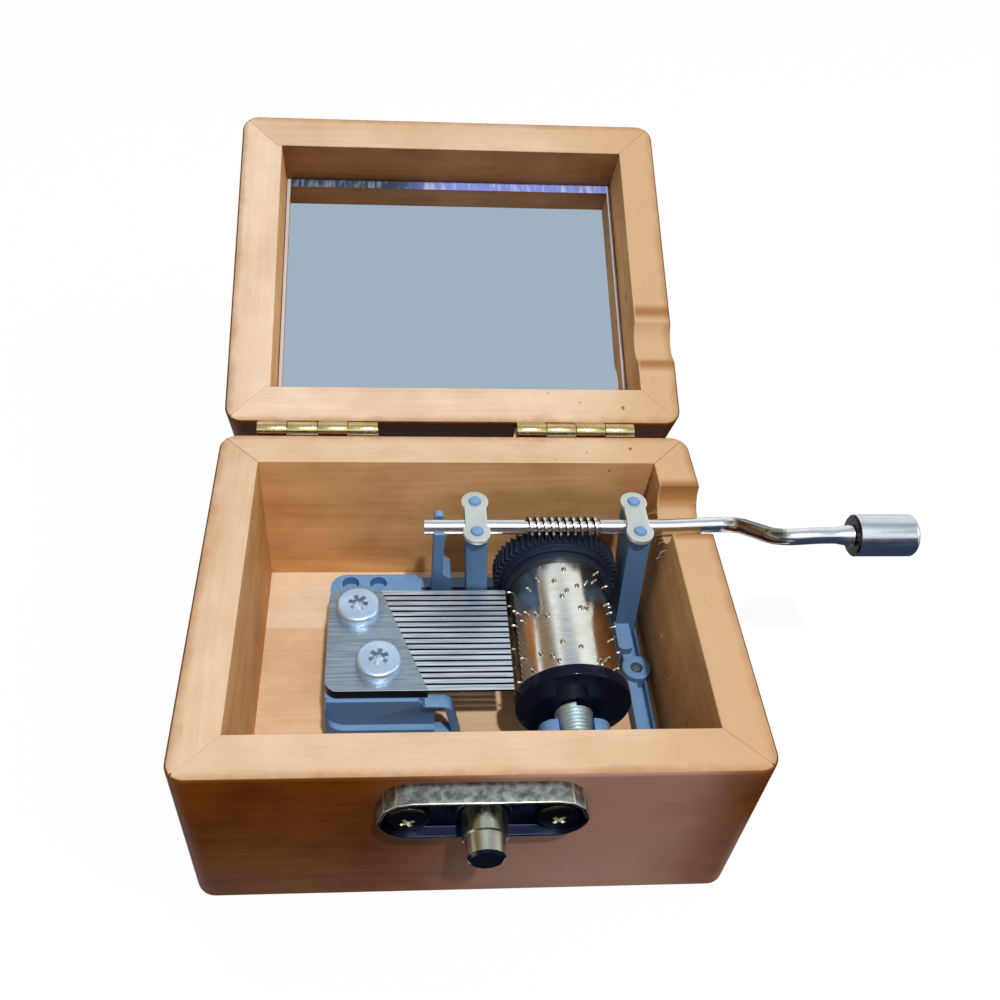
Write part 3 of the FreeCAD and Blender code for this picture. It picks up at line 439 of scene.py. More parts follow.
# ---------------------------------------------------------------- shader building
class Shader:
    """A node tree under construction."""

    def __init__(self, tree: bpy.types.NodeTree) -> None:
        """Keep the tree to build in."""
        self.tree = tree

    def fill(self, socket: Socket, source: object) -> None:
        """Fill one input from an output socket, a number or a colour.

        Args:
            socket: the input.
            source: an output socket to link, or a value to set.
        """
        if isinstance(source, Socket):
            self.tree.links.new(source, socket)
        elif socket.type == "RGBA":
            socket.default_value = (*source[:3], 1.0)
        else:
            socket.default_value = source

    def node(self, kind: str, **settings: object) -> Node:
        """Add a node.

        Args:
            kind: Blender's name of the node type.
            settings: properties to set on it.

        Returns:
            The new node.
        """
        made = self.tree.nodes.new(kind)
        for key, value in settings.items():
            setattr(made, key, value)
        return made

    def feed(self, node: Node, **sources: object) -> Node:
        """Fill input sockets by name, with underscores for spaces.

        Args:
            node: the node whose inputs are filled.
            sources: an output socket to link, or a value to set.

        Returns:
            The same node.
        """
        for key, source in sources.items():
            self.fill(node.inputs[key.replace("_", " ")], source)
        return node

    def use(self, group: bpy.types.NodeTree, **sources: object) -> Outputs:
        """Outputs of a shared group that is fed from these sources."""
        return self.feed(self.node("ShaderNodeGroup", node_tree=group), **sources).outputs

    def math(self, operation: str, first: object, second: object = 0.0, clamp: bool = False) -> Socket:
        """One arithmetic step.

        Args:
            operation: name of the operation.
            first: socket or number.
            second: socket or number.
            clamp: keep the result between 0 and 1.

        Returns:
            The result's socket.
        """
        node = self.node("ShaderNodeMath", operation=operation, use_clamp=clamp)
        self.fill(node.inputs[0], first)
        self.fill(node.inputs[1], second)
        return node.outputs[0]

    def times(self, first: object, second: object) -> Socket:
        """Product of two sockets or numbers."""
        return self.math("MULTIPLY", first, second)

    def plus(self, first: object, second: object) -> Socket:
        """Sum of two sockets or numbers."""
        return self.math("ADD", first, second)

    def minus(self, first: object, second: object) -> Socket:
        """First socket or number less the second."""
        return self.math("SUBTRACT", first, second)

    def larger(self, first: object, second: object) -> Socket:
        """Larger of two sockets or numbers."""
        return self.math("MAXIMUM", first, second)

    def rest(self, share: object) -> Socket:
        """What a share leaves of 1."""
        return self.math("SUBTRACT", 1.0, share)

    def split(self, vector: Socket) -> Outputs:
        """X, Y and Z of a vector."""
        return self.feed(self.node("ShaderNodeSeparateXYZ"), Vector=vector).outputs

    def mapped(self, vector: Socket, **settings: object) -> Socket:
        """A vector that was scaled, turned and moved."""
        return self.feed(self.node("ShaderNodeMapping"), Vector=vector, **settings).outputs["Vector"]

    def coordinates(self, stretch: Triple = (1.0, 1.0, 1.0)) -> Socket:
        """Object coordinates in millimetres, stretched along X, Y and Z."""
        source = self.node("ShaderNodeTexCoord").outputs["Object"]
        return self.mapped(source, Scale=tuple(TO_MM * part for part in stretch))

    def attribute(self, name: str) -> Socket:
        """A number stored on the mesh."""
        return self.node("ShaderNodeAttribute", attribute_name=name).outputs["Fac"]

    def noise(self, vector: Socket, scale: object, detail: float = 3.0, rough: float = 0.5) -> Socket:
        """A noise pattern with so many features per unit, finer octaves and their strength."""
        node = self.node("ShaderNodeTexNoise")
        return self.feed(node, Vector=vector, Scale=scale, Detail=detail, Roughness=rough).outputs["Fac"]

    def ramp(self, factor: Socket, start: float, end: float, tones: Tones) -> Socket:
        """Dark to light colour between two levels of a factor.

        Args:
            factor: the socket that chooses.
            start: level of the dark colour.
            end: level of the light colour.
            tones: the dark and the light colour.

        Returns:
            The colour's socket.
        """
        node = self.node("ShaderNodeValToRGB")
        for element, position, colour in zip(node.color_ramp.elements, (start, end), tones):
            element.position = position
            element.color = (*colour, 1.0)
        return self.feed(node, Fac=factor).outputs["Color"]

    def step(self, factor: Socket, start: object, end: object) -> Socket:
        """Smooth 0 to 1 between two levels of a factor."""
        node = self.node("ShaderNodeMapRange", interpolation_type="SMOOTHSTEP", clamp=True)
        return self.feed(node, Value=factor, From_Min=start, From_Max=end).outputs["Result"]

    def mix(self, factor: object, first: object, second: object, blend: str = "MIX") -> Socket:
        """Mix two colours.

        Args:
            factor: socket or number between 0 and 1.
            first: colour or socket at 0.
            second: colour or socket at 1.
            blend: how they mix.

        Returns:
            The colour's socket.
        """
        node = self.node("ShaderNodeMix", data_type="RGBA", blend_type=blend)
        for index, source in {0: factor, 6: first, 7: second}.items():
            self.fill(node.inputs[index], source)
        return node.outputs[2]

    def marked(self, colour: Socket, mark: str, other: Triple | None) -> Socket:
        """A colour with another one, if there is one, where an attribute marks it."""
        return colour if other is None else self.mix(self.attribute(mark), colour, other)

    def blend(self, share: object, first: Node, second: Node) -> Node:
        """Mix two surfaces.

        Args:
            share: socket or number, 0 for the first and 1 for the second.
            first: node of the one surface.
            second: node of the other.

        Returns:
            The node of the mixed surface.
        """
        node = self.node("ShaderNodeMixShader")
        for socket, source in zip(node.inputs, (share, first.outputs[0], second.outputs[0])):
            self.fill(socket, source)
        return node

    def show(self, surface: Node) -> None:
        """Make a node the surface of the material."""
        self.fill(self.tree.nodes["Material Output"].inputs["Surface"], surface.outputs[0])

    def bumped(self, height: Socket, strength: float, depth: float) -> Socket:
        """A normal raised by a height pattern whose full step is so many millimetres deep."""
        node = self.node("ShaderNodeBump")
        return self.feed(node, Height=height, Strength=strength, Distance=depth * MM).outputs["Normal"]

    def seen_rays(self) -> Socket:
        """Which rays show the surroundings.

        Returns:
            1 for camera, glossy and transmitted rays, 0 for those that light the object.
        """
        path = self.node("ShaderNodeLightPath").outputs
        seen = self.larger(path["Is Camera Ray"], path["Is Glossy Ray"])
        return self.larger(seen, path["Is Transmission Ray"])


def new_group(name: str, inputs: dict[str, object], outputs: tuple[str, ...]) -> tuple[Shader, object, Node]:
    """Start a shared node group.

    Args:
        name: name of the group.
        inputs: socket name to default number, or None for a vector.
        outputs: names of the number sockets it gives.

    Returns:
        The shader helper, the group's given sockets and its output node.
    """
    tree = bpy.data.node_groups.new(name, "ShaderNodeTree")
    for label, default in inputs.items():
        kind = "NodeSocketVector" if default is None else "NodeSocketFloat"
        socket = tree.interface.new_socket(name=label, in_out="INPUT", socket_type=kind)
        if default is not None:
            socket.default_value = default
    for label in outputs:
        tree.interface.new_socket(name=label, in_out="OUTPUT", socket_type="NodeSocketFloat")
    shader = Shader(tree)
    return shader, shader.node("NodeGroupInput").outputs, shader.node("NodeGroupOutput")


class Effects:
    """Shared effects, each a node group that is built once."""

    def __init__(self) -> None:
        """Build every group."""
        self.grain = self._grain()
        self.case_wear_and_sheen = self._case_wear_and_sheen()
        self.scratches = self._scratches()
        self.speckle = self._speckle()

    def specks(self, shader: Shader, scale: float, threshold: float, softness: float) -> Outputs:
        """Outputs of the speckle group over a whole piece."""
        sizes = {"Scale": scale, "Threshold": threshold, "Softness": softness}
        return shader.use(self.speckle, Vector=shader.coordinates(), **sizes)

    def _grain(self) -> bpy.types.NodeTree:
        """Wood grain whose fibres run along X; the vector is in millimetres.

        Returns:
            The group with Tone, Pores and Height outputs.
        """
        shader, given, out = new_group("wood_grain", {"Vector": None}, ("Tone", "Pores", "Height"))
        vector = given["Vector"]
        wander = shader.feed(shader.node("ShaderNodeTexNoise"), Vector=vector, Scale=0.02, Detail=0.0)
        bent = shader.node("ShaderNodeVectorMath", operation="MULTIPLY_ADD")
        long_fibres = shader.mapped(vector, Scale=(0.028, 1.0, 1.0))
        for socket, source in zip(bent.inputs, (wander.outputs["Color"], (0.0, 5.0, 5.0), long_fibres)):
            shader.fill(socket, source)
        figure = shader.noise(bent.outputs["Vector"], 0.2)
        streak = shader.noise(bent.outputs["Vector"], 1.6, 4.0, 0.6)
        blotch = shader.noise(vector, 0.13, 4.0, 0.6)
        short_fibres = shader.mapped(vector, Scale=(0.22, 3.0, 3.0))
        pores = shader.step(shader.noise(short_fibres, 1.6, 2.0), 0.64, 0.76)
        tone = shader.plus(shader.times(figure, 0.34), shader.times(streak, 0.20))
        tone = shader.plus(tone, shader.times(blotch, 0.46))
        shader.feed(out, Tone=tone, Pores=pores, Height=shader.minus(shader.times(streak, 0.6), pores))
        return shader.tree

    def _case_wear_and_sheen(self) -> bpy.types.NodeTree:
        """Masks over the whole case; the vector is in millimetres in the shut case.

        Returns:
            The group with Edge, Notch, Side, Sheen and Pits outputs: the burnished outer edges, darker lines
            along the crank's notch, the side where the crank comes out, a painted sheen on the front and a
            few pits.
        """
        shader, given, out = new_group(
            "case_wear_and_sheen",
            {"Vector": None, "Half Width": 30.0, "Half Depth": 26.0, "Notch Y": 12.0, "Notch Half": 3.0},
            ("Edge", "Notch", "Side", "Faded", "Pits"),
        )
        vector = given["Vector"]
        place = shader.split(vector)
        waver = shader.times(shader.noise(vector, 0.35, 3.0, 0.6), 1.6)
        borders = []
        for axis, limit in (("X", "Half Width"), ("Y", "Half Depth")):
            reach = shader.minus(shader.math("ABSOLUTE", place[axis]), given[limit])
            borders.append(shader.step(shader.plus(reach, waver), -0.7, 1.1))
        # Darker lines along the edges of the crank's notch.
        across = shader.math("ABSOLUTE", shader.minus(place["Y"], given["Notch Y"]))
        beside = shader.math("ABSOLUTE", shader.minus(across, given["Notch Half"]))
        far_from_cut = shader.step(beside, 0.1, 1.5)
        far_from_right = shader.step(shader.minus(given["Half Width"], place["X"]), 5.0, 5.5)
        notch = shader.times(shader.rest(far_from_cut), shader.rest(far_from_right))
        # A band across the front, right of the middle, for a painted sheen.
        along = shader.plus(place["X"], shader.times(shader.noise(vector, 0.12, 2.0), 10.0))
        sheen = shader.times(shader.step(along, -8.0, 18.0), shader.rest(shader.step(along, 24.0, 38.0)))
        sheen = shader.times(sheen, shader.rest(shader.step(place["Y"], -24.0, -16.0)))
        dents = shader.step(shader.noise(vector, 0.5, 2.0, 0.7), 0.71, 0.75)
        shader.feed(
            out,
            Edge=shader.larger(*borders),
            Notch=notch,
            Side=shader.step(place["X"], 14.0, 29.0),
            Faded=sheen,
            Pits=shader.times(dents, shader.step(place["X"], 2.0, 20.0)),
        )
        return shader.tree

    def _scratches(self) -> bpy.types.NodeTree:
        """Fine ground lines with softer smudges over them; the vector is in millimetres, already stretched.

        Returns:
            The group with Lines and Smudge outputs.
        """
        inputs = {"Vector": None, "Plain Vector": None, "Fineness": 6.0}
        shader, given, out = new_group("ground_metal", inputs, ("Lines", "Smudge"))
        smudge = shader.step(shader.noise(given["Plain Vector"], 0.35, 3.0, 0.6), 0.35, 0.68)
        shader.feed(out, Lines=shader.noise(given["Vector"], given["Fineness"]), Smudge=smudge)
        return shader.tree

    def _speckle(self) -> bpy.types.NodeTree:
        """Small irregular grains and pits, as on castings and aged brass; the vector is in millimetres.

        Returns:
            The group with Mask and Height outputs.
        """
        inputs = {"Vector": None, "Scale": 3.0, "Threshold": 0.5, "Softness": 0.08}
        shader, given, out = new_group("speckle", inputs, ("Mask", "Height"))
        fine = shader.noise(given["Vector"], given["Scale"], 4.0, 0.65)
        low = shader.minus(given["Threshold"], given["Softness"])
        high = shader.plus(given["Threshold"], given["Softness"])
        shader.feed(out, Mask=shader.step(fine, low, high), Height=fine)
        return shader.tree


@functools.cache
def effects() -> Effects:
    """The shared effects, built at their first use."""
    return Effects()


# ---------------------------------------------------------------- finishes
@dataclass(frozen=True)
class Finish:
    """A named look that becomes one material."""

    name: str

    @functools.cache
    def material(self) -> Material:
        """The finish's one material.

        Returns:
            The material, which is built at the first use of the finish.
        """
        made = bpy.data.materials.new(self.name)
        made.use_nodes = True
        shader = Shader(made.node_tree)
        shader.feed(made.node_tree.nodes["Principled BSDF"], **self.surface(shader))
        return made

    def surface(self, shader: Shader) -> dict[str, object]:
        """What fills the inputs of the Principled shader; every finish gives its own."""
        raise NotImplementedError


@dataclass(frozen=True)
class CaseSize:
    """Sizes of the shut case that its finishes are laid out by, in millimetres."""

    half_width: float
    half_depth: float
    top: float
    notch_y: float = 12.05
    notch_half: float = 4.3


@dataclass(frozen=True)
class TimberFinish(Finish):
    """Smooth raw wood on the rims, browner on the inner walls as unsanded wood with painted shade, under
    red-brown varnish outside with a painted sheen on the front.
    """

    grain: Grain
    in_lid: bool
    shift: Triple
    case: CaseSize
    raw: Tones = BASE_RAW
    wall: Tones = LIT_WALL
    stain: Tones = ((0.105, 0.021, 0.001), (0.210, 0.056, 0.004))
    # Paler varnish colour that paints the sheen on the front.
    stain_sheen: Triple = (0.450, 0.242, 0.182)
    burnished: Triple = (0.42, 0.20, 0.080)
    # Colour of the darker lines along the crank's notch.
    notch_line: Triple = (0.34, 0.125, 0.030)
    crank_side: Triple = (0.620, 0.385, 0.200)
    pore_colour: Triple = (0.34, 0.18, 0.085)

    def surface(self, shader: Shader) -> dict[str, object]:
        """What fills the inputs, from the stain and wall attributes of the board.

        Args:
            shader: the material's shader helper.

        Returns:
            The inputs' sources.
        """
        shut = self._shut_coordinates(shader)
        lay = shader.mapped(shut, Location=self.shift, Rotation=Euler((0.0, 0.0, self.grain.value)))
        wood = shader.use(effects().grain, Vector=lay)
        wear_and_sheen = shader.use(
            effects().case_wear_and_sheen,
            Vector=shut,
            Half_Width=self.case.half_width,
            Half_Depth=self.case.half_depth,
            Notch_Y=self.case.notch_y,
            Notch_Half=self.case.notch_half,
        )
        stain = shader.attribute("stain")
        return {
            "Base_Color": self._colour(shader, wood, wear_and_sheen, stain),
            "Roughness": shader.minus(0.62, shader.times(stain, 0.2)),
            "Normal": shader.bumped(wood["Height"], 0.25, 0.03),
            "Specular_IOR_Level": 0.03,
        }

    def _shut_coordinates(self, shader: Shader) -> Socket:
        """Place in the shut case, in millimetres: the lid's boards are turned shut about their hinge."""
        turn = {"Location": SHUT.to_translation(), "Rotation": Euler((LID_SHUT_ANGLE, 0.0, 0.0))}
        return shader.mapped(shader.coordinates(), **turn) if self.in_lid else shader.coordinates()

    def _colour(self, shader: Shader, wood: Outputs, wear_and_sheen: Outputs, stain: Socket) -> Socket:
        """Colour of the wood from its grain, its wear masks and a painted sheen on the front.

        Args:
            shader: the material's shader helper.
            wood: the grain group's outputs.
            wear_and_sheen: the outputs of the group of case wear and painted sheen.
            stain: share of varnish.

        Returns:
            The colour's socket.
        """
        # Darker lines along the crank's notch, on the rims and on the walls.
        notch_line = shader.times(wear_and_sheen["Notch"], 0.8)
        rim = shader.ramp(wood["Tone"], 0.34, 0.62, self.raw)
        rim = shader.mix(shader.times(wear_and_sheen["Side"], 0.85), rim, self.crank_side)
        rim = shader.mix(shader.times(wear_and_sheen["Edge"], 0.8), rim, self.burnished)
        rim = shader.mix(notch_line, rim, self.notch_line)
        wall = shader.mix(notch_line, shader.ramp(wood["Tone"], 0.34, 0.64, self.wall), self.notch_line)
        raw = shader.mix(shader.attribute("wall"), rim, wall)
        # Paler varnish on a band of the front: a painted sheen.
        sheen = shader.times(wear_and_sheen["Faded"], 0.35 if self.in_lid else 0.85)
        stained = shader.mix(sheen, shader.ramp(wood["Tone"], 0.36, 0.62, self.stain), self.stain_sheen)
        colour = shader.mix(stain, raw, stained)
        flecks = shader.times(wood["Pores"], shader.plus(shader.times(stain, 0.35), 0.15))
        flecks = shader.larger(flecks, shader.times(wear_and_sheen["Pits"], 0.8))
        return shader.mix(flecks, colour, self.pore_colour, "MULTIPLY")


@dataclass(frozen=True)
class MetalFinish(Finish):
    """Bare or plated metal with ground lines, smudges and other colours where it is marked, which on several
    pieces are painted shade, highlights and reflections.
    """

    colour: Triple
    shade: Triple
    roughness: float
    brushed: Brushed = Brushed.NOT
    fineness: float = 6.0
    metallic: float = 1.0
    smudge: float = 0.35
    edge_colour: Triple | None = None
    side_colour: Triple | None = None
    tip_colour: Triple | None = None
    grazing_reflection: Triple | None = None
    line_share: float = 0.0
    relief: float = 0.004

    def surface(self, shader: Shader) -> dict[str, object]:
        """What fills the inputs.

        Args:
            shader: the material's shader helper.

        Returns:
            The inputs' sources.
        """
        ground = shader.use(
            effects().scratches,
            Vector=shader.coordinates(self.brushed.value),
            Plain_Vector=shader.coordinates(),
            Fineness=self.fineness,
        )
        colour = shader.mix(shader.times(ground["Smudge"], self.smudge), self.colour, self.shade)
        colour = shader.marked(colour, "tip", self.tip_colour)
        lines = shader.times(shader.step(ground["Lines"], 0.42, 0.64), self.line_share)
        colour = shader.mix(lines, colour, self.shade)
        # A colour at grazing angles, which is a painted reflection.
        if self.grazing_reflection is not None:
            facing = shader.node("ShaderNodeLayerWeight").outputs["Facing"]
            colour = shader.mix(shader.step(facing, 0.22, 0.62), colour, self.grazing_reflection)
        colour = shader.marked(colour, "side", self.side_colour)
        rough = shader.plus(shader.times(shader.minus(ground["Lines"], 0.5), 0.35), self.roughness)
        return {
            "Base_Color": shader.marked(colour, "edge", self.edge_colour),
            "Roughness": shader.math("ADD", rough, shader.times(ground["Smudge"], 0.06), clamp=True),
            "Metallic": self.metallic,
            "Normal": shader.bumped(ground["Lines"], 0.4, self.relief),
        }


@dataclass(frozen=True)
class SpeckledFinish(Finish):
    """A coat or patina of two colours in small grains, paler along the edges: wear on the frame, a painted
    highlight on the catch plate.
    """

    colour: Triple
    grains: Triple
    edge_colour: Triple
    roughness: float
    metallic: float
    scale: float = 3.0
    threshold: float = 0.55
    relief: float = 0.02
    edge_share: float = 0.7
    gloss: float = 0.5
    softness: float = 0.08
    side_colour: Triple | None = None

    def surface(self, shader: Shader) -> dict[str, object]:
        """What fills the inputs, from the edge and side attributes of the piece.

        Args:
            shader: the material's shader helper.

        Returns:
            The inputs' sources.
        """
        grains = effects().specks(shader, self.scale, self.threshold, self.softness)
        colour = shader.mix(grains["Mask"], self.colour, self.grains)
        # Marked sides take a darker colour: painted shade on the frame; patina, painted reflection and
        # painted shade on the catch plate.
        colour = shader.marked(colour, "side", self.side_colour)
        edge_wear_and_highlight = shader.times(shader.attribute("edge"), self.edge_share)
        return {
            "Base_Color": shader.mix(edge_wear_and_highlight, colour, self.edge_colour),
            "Roughness": shader.plus(self.roughness, shader.times(grains["Mask"], 0.1)),
            "Metallic": self.metallic,
            "Normal": shader.bumped(grains["Height"], 0.5, self.relief),
            "Specular_IOR_Level": self.gloss,
        }


@dataclass(frozen=True)
class PlasticFinish(Finish):
    """Glossy moulded plastic with faint flow marks."""

    colour: Triple
    roughness: float
    gloss: float = 0.6

    def surface(self, shader: Shader) -> dict[str, object]:
        """What fills the inputs.

        Args:
            shader: the material's shader helper.

        Returns:
            The inputs' sources.
        """
        flow = effects().specks(shader, 0.8, 0.55, 0.15)
        return {
            "Base_Color": self.colour,
            "Roughness": shader.plus(self.roughness, shader.times(flow["Mask"], 0.12)),
            "Specular_IOR_Level": self.gloss,
            "Normal": shader.bumped(flow["Height"], 0.3, 0.01),
        }


@dataclass(frozen=True)
class MirrorFinish(Finish):
    """Silvered glass with a little dust and a ground border whose blue glint and highlights are painted."""

    colour: Triple
    dust: Triple
    roughness: float
    middle_x: float
    half_width: float
    # Painted reflection on the ground border: dark, a blue glint and pale highlights.
    border_painted_dark: Triple = (0.030, 0.055, 0.110)
    border_painted_glint: Triple = (0.235, 0.300, 0.800)
    border_painted_highlight: Triple = (0.800, 0.860, 1.000)

    def surface(self, shader: Shader) -> dict[str, object]:
        """What fills the inputs, from the border attribute of the glass.

        Args:
            shader: the material's shader helper.

        Returns:
            The inputs' sources.
        """
        haze = shader.times(effects().specks(shader, 1.2, 0.72, 0.05)["Mask"], 0.25)
        border = shader.attribute("border")
        rough = shader.plus(self.roughness, shader.times(haze, 0.3))
        return {
            "Base_Color": shader.mix(border, shader.mix(haze, self.colour, self.dust), self._border_glint(shader)),
            "Roughness": shader.plus(rough, shader.times(border, 0.35)),
            "Metallic": shader.rest(border),
        }

    def _border_glint(self, shader: Shader) -> Socket:
        """Painted reflection on the ground border: dark on the left, a blue glint on the right, with pale
        highlight streaks.

        Args:
            shader: the material's shader helper.

        Returns:
            The colour's socket.
        """
        across = shader.split(shader.coordinates())["X"]
        right = shader.step(across, -9.0, 1.0)
        streak = shader.noise(shader.coordinates((1.3, 0.3, 0.3)), 1.0, 3.0, 0.6)
        strength = shader.plus(shader.times(right, 0.35), 0.3)
        pale = shader.times(shader.step(streak, 0.46, 0.70), strength)
        from_middle = shader.math("ABSOLUTE", shader.minus(across, self.middle_x))
        pale = shader.larger(pale, shader.step(from_middle, self.half_width - 0.65, self.half_width - 0.5))
        return shader.mix(pale, shader.mix(right, self.border_painted_dark, self.border_painted_glint), self.border_painted_highlight)


# ---------------------------------------------------------------- wooden case
@dataclass
class Board:
    """One wooden board: its solid, the way its grain runs and where its pattern starts."""

    node: str
    grain: Grain
    body: Body
    shift: Triple
    slot: str = "wood"
    raw: Tones = BASE_RAW
    wall: Tones = LIT_WALL
    bare_behind: float | None = None
    joint_ease: float = 0.09
    joint_degrees: float = 40.0
    upright_slope: float = 0.6

    def build(self, case: "Case") -> None:
        """Make the finished board, whose eased edges show the glued joints as fine lines.

        Args:
            case: the case whose sizes tell outside from inside.
        """
        bm = merged_copy(self.node)
        flatten_facets(bm)
        bevel_edges(bm, self.joint_ease, self.joint_degrees, 1)
        if self.bare_behind is not None:
            divide_at(bm, Vector((0.0, self.bare_behind, 0.0)), Vector((0.0, 1.0, 0.0)))
        in_lid = self.body is Body.LID
        shut = SHUT if in_lid else Matrix.Identity(4)
        turn = shut.to_3x3()
        mark_faces(bm, "stain", lambda facet: case.outwardness(shut @ facet.centre, turn @ facet.normal))
        mark_faces(bm, "wall", lambda facet: self._wall_share(facet.centre, turn @ facet.normal))
        shade_by_angle(bm)
        finish = TimberFinish(
            self.node + "_wood", self.grain, in_lid, self.shift, case.size, self.raw, self.wall
        )
        settle(self.node + "_finished", bm, self.body, self.slot, finish, self.node)

    def _wall_share(self, centre: Vector, normal: Vector) -> float:
        """1 on upright faces, half of it on the darker part in front of a bare strip."""
        ahead_of_strip = self.bare_behind is not None and centre.y < self.bare_behind
        return 0.5 if ahead_of_strip else float(abs(normal.z) < self.upright_slope)


@dataclass
class Case:
    """The base and lid boards, the mirror and the fibres left by the saw."""

    round_edge: float = 2.6
    top_edge: float = 1.5
    foot_edge: float = 0.5
    flat_slope: float = 0.2
    coat_rise: float = 1.6
    coat_from: float = 0.35
    border_width: float = 1.9
    glass_side_slope: float = 0.5
    glass_degrees: float = 5.0
    fibre_seed: int = 11
    fibre_count: int = 26
    fibre_radius: float = 0.045
    fibre_root: float = 0.1
    fibre_bend: Pair = (0.5, 1.3)
    fibre_sweep: Pair = (0.7, 1.7)
    notch_fibres: tuple[Pair, Pair] = ((7.5, 16.8), (21.6, 24.2))
    wall_fibres: tuple[Pair, Pair] = ((-16.0, 6.0), (9.0, 20.0))

    def __post_init__(self) -> None:
        """Read the case's outside from the frame."""
        top = max((SHUT @ (vert.co * TO_MM)).z for vert in frame["nodes"]["lid_top_panel"].data.vertices)
        self.size = CaseSize(box_mm("base_right_board")[1].x, box_mm("base_back_board")[1].y, top)

    def outwardness(self, centre: Vector, normal: Vector) -> float:
        """How far a face of the shut case faces the outside.

        Args:
            centre: the face's centre in the shut case.
            normal: its normal there.

        Returns:
            0 on raw wood, up to 1 on varnished faces.
        """
        share = 0.0
        for axis, limit in enumerate((self.size.half_width, self.size.half_depth)):
            if abs(centre[axis]) > limit - self.round_edge:
                share = max(share, normal[axis] * math.copysign(1.0, centre[axis]))
        on_top = centre.z > self.size.top - self.top_edge and normal.z > self.flat_slope
        if on_top or (centre.z < self.foot_edge and normal.z < -self.flat_slope):
            share = 1.0
        return min(1.0, self.coat_rise * share) if share > self.coat_from else 0.0

    def build(self) -> None:
        """Make the boards, the mirror and the fibres."""
        for index, side in enumerate(("front", "back", "left", "right")):
            grain = Grain.ALONG_X if index < 2 else Grain.ALONG_Y
            # The lid's front board, whose walls face down when the lid is open, takes the base's rim tones
            # and wall tones painted as shade; the other lid boards take rim tones lightened as painted light.
            raw, wall = (BASE_RAW, SHADED_WALL) if side == "front" else (LID_RAW_LIGHTENED, LIT_WALL)
            lid_shift = (13.0 - 23.0 * index, 41.0 * index, 9.0)
            base_shift = (31.0 * index, 17.0 * index, 5.0 * index)
            Board(f"base_{side}_board", grain, Body.BASE, base_shift).build(self)
            Board(f"lid_{side}_board", grain, Body.LID, lid_shift, raw=raw, wall=wall).build(self)
        floor_shift, top_shift = (90.0, 12.0, 40.0), (47.0, 80.0, 3.0)
        # The floor's rim tones are lightened as painted light.
        Board(
            "base_floor_board", Grain.ALONG_X, Body.BASE, floor_shift, "board", FLOOR_RAW_LIGHTENED, bare_behind=10.3
        ).build(self)
        Board("lid_top_panel", Grain.ALONG_X, Body.LID, top_shift, "board", LID_RAW_LIGHTENED).build(self)
        self._mirror()
        self._fibres()

    def _mirror(self) -> None:
        """The bevelled mirror."""
        bm = merged_copy("lid_mirror")
        flatten_facets(bm)
        along = SHUT.inverted().to_3x3() @ TO_FRONT
        reach = max(vert.co.dot(along) for vert in bm.verts) * TO_MM - self.border_width
        divide_at(bm, along * reach, along)
        slope = self.glass_side_slope
        mark_faces(
            bm, "border", lambda facet: float(facet.centre.dot(along) > reach or abs(facet.normal.x) > slope)
        )
        shade_by_angle(bm, self.glass_degrees)
        low, high = box_mm("lid_mirror")
        middle, half = (low.x + high.x) / 2, (high.x - low.x) / 2
        finish = MirrorFinish("mirror_silver", (0.80, 0.87, 0.92), (0.85, 0.86, 0.86), 0.012, middle, half)
        settle("lid_mirror_finished", bm, Body.LID, "mirror_glass", finish, "lid_mirror")

    def _fibres(self) -> None:
        """Torn fibres round the crank notch and along the inside of the right-hand wall."""
        dice = random.Random(self.fibre_seed)
        root_x = box_mm("base_right_board")[0].x + self.fibre_root
        bm = bmesh.new()
        for index in range(self.fibre_count):
            across, upright = self.notch_fibres if index % 3 else self.wall_fibres
            root = Vector((root_x, dice.uniform(*across), dice.uniform(*upright)))
            hub = root - Vector((0.0, 0.0, dice.uniform(*self.fibre_bend)))
            sweep = dice.uniform(*self.fibre_sweep)
            made = bmesh.ops.create_circle(bm, cap_ends=True, segments=4, radius=self.fibre_radius)["verts"]
            start = pointing(root, Vector((-1.0, dice.uniform(-0.5, 0.5), -0.3)))
            bmesh.ops.transform(bm, matrix=start, verts=made)
            faces = list({face for vert in made for face in vert.link_faces})
            axis = Vector((dice.uniform(-0.3, 0.3), -1.0, dice.uniform(-0.6, 0.6))).normalized()
            bmesh.ops.spin(bm, geom=faces, cent=hub, axis=axis, angle=sweep, steps=5)
        bmesh.ops.recalc_face_normals(bm, faces=bm.faces)
        finish = TimberFinish("torn_fibre_wood", Grain.ALONG_Y, False, (5.0, 60.0, 2.0), self.size)
        settle("torn_fibres", to_metres(bm, Matrix()), Body.BASE, "wood", finish)


# ---------------------------------------------------------------- plain dressed nodes
@dataclass
class Dressed:
    """A CAD node whose welded copy is shown with softened edges and a finish."""

    node: str
    body: Body
    slot: str
    finish: Finish
    edge_width: float = 0.0
    edge_angle: float = 38.0
    edge_segments: int = 2
    side_share: FacetShare | None = None
    edge_kept: FacetShare | None = None

    def build(self) -> None:
        """Make the finished copy."""
        bm = merged_copy(self.node)
        if self.edge_width > 0.0:
            flatten_facets(bm)
            edge = number_layer(bm, "edge")
            for face in bevel_edges(bm, self.edge_width, self.edge_angle, self.edge_segments):
                face[edge] = 1.0
        self.divide(bm)
        if self.side_share is not None:
            mark_faces(bm, "side", self.side_share)
        if self.edge_kept is not None:
            edge = number_layer(bm, "edge")
            for face in bm.faces:
                face[edge] *= self.edge_kept(facet_of(face))
        shade_by_angle(bm)
        settle(self.node + "_finished", bm, self.body, self.slot, self.finish, self.node)

    def divide(self, bm: Mesh) -> None:
        """Leave the faces whole; pieces with patches of their own divide them here."""


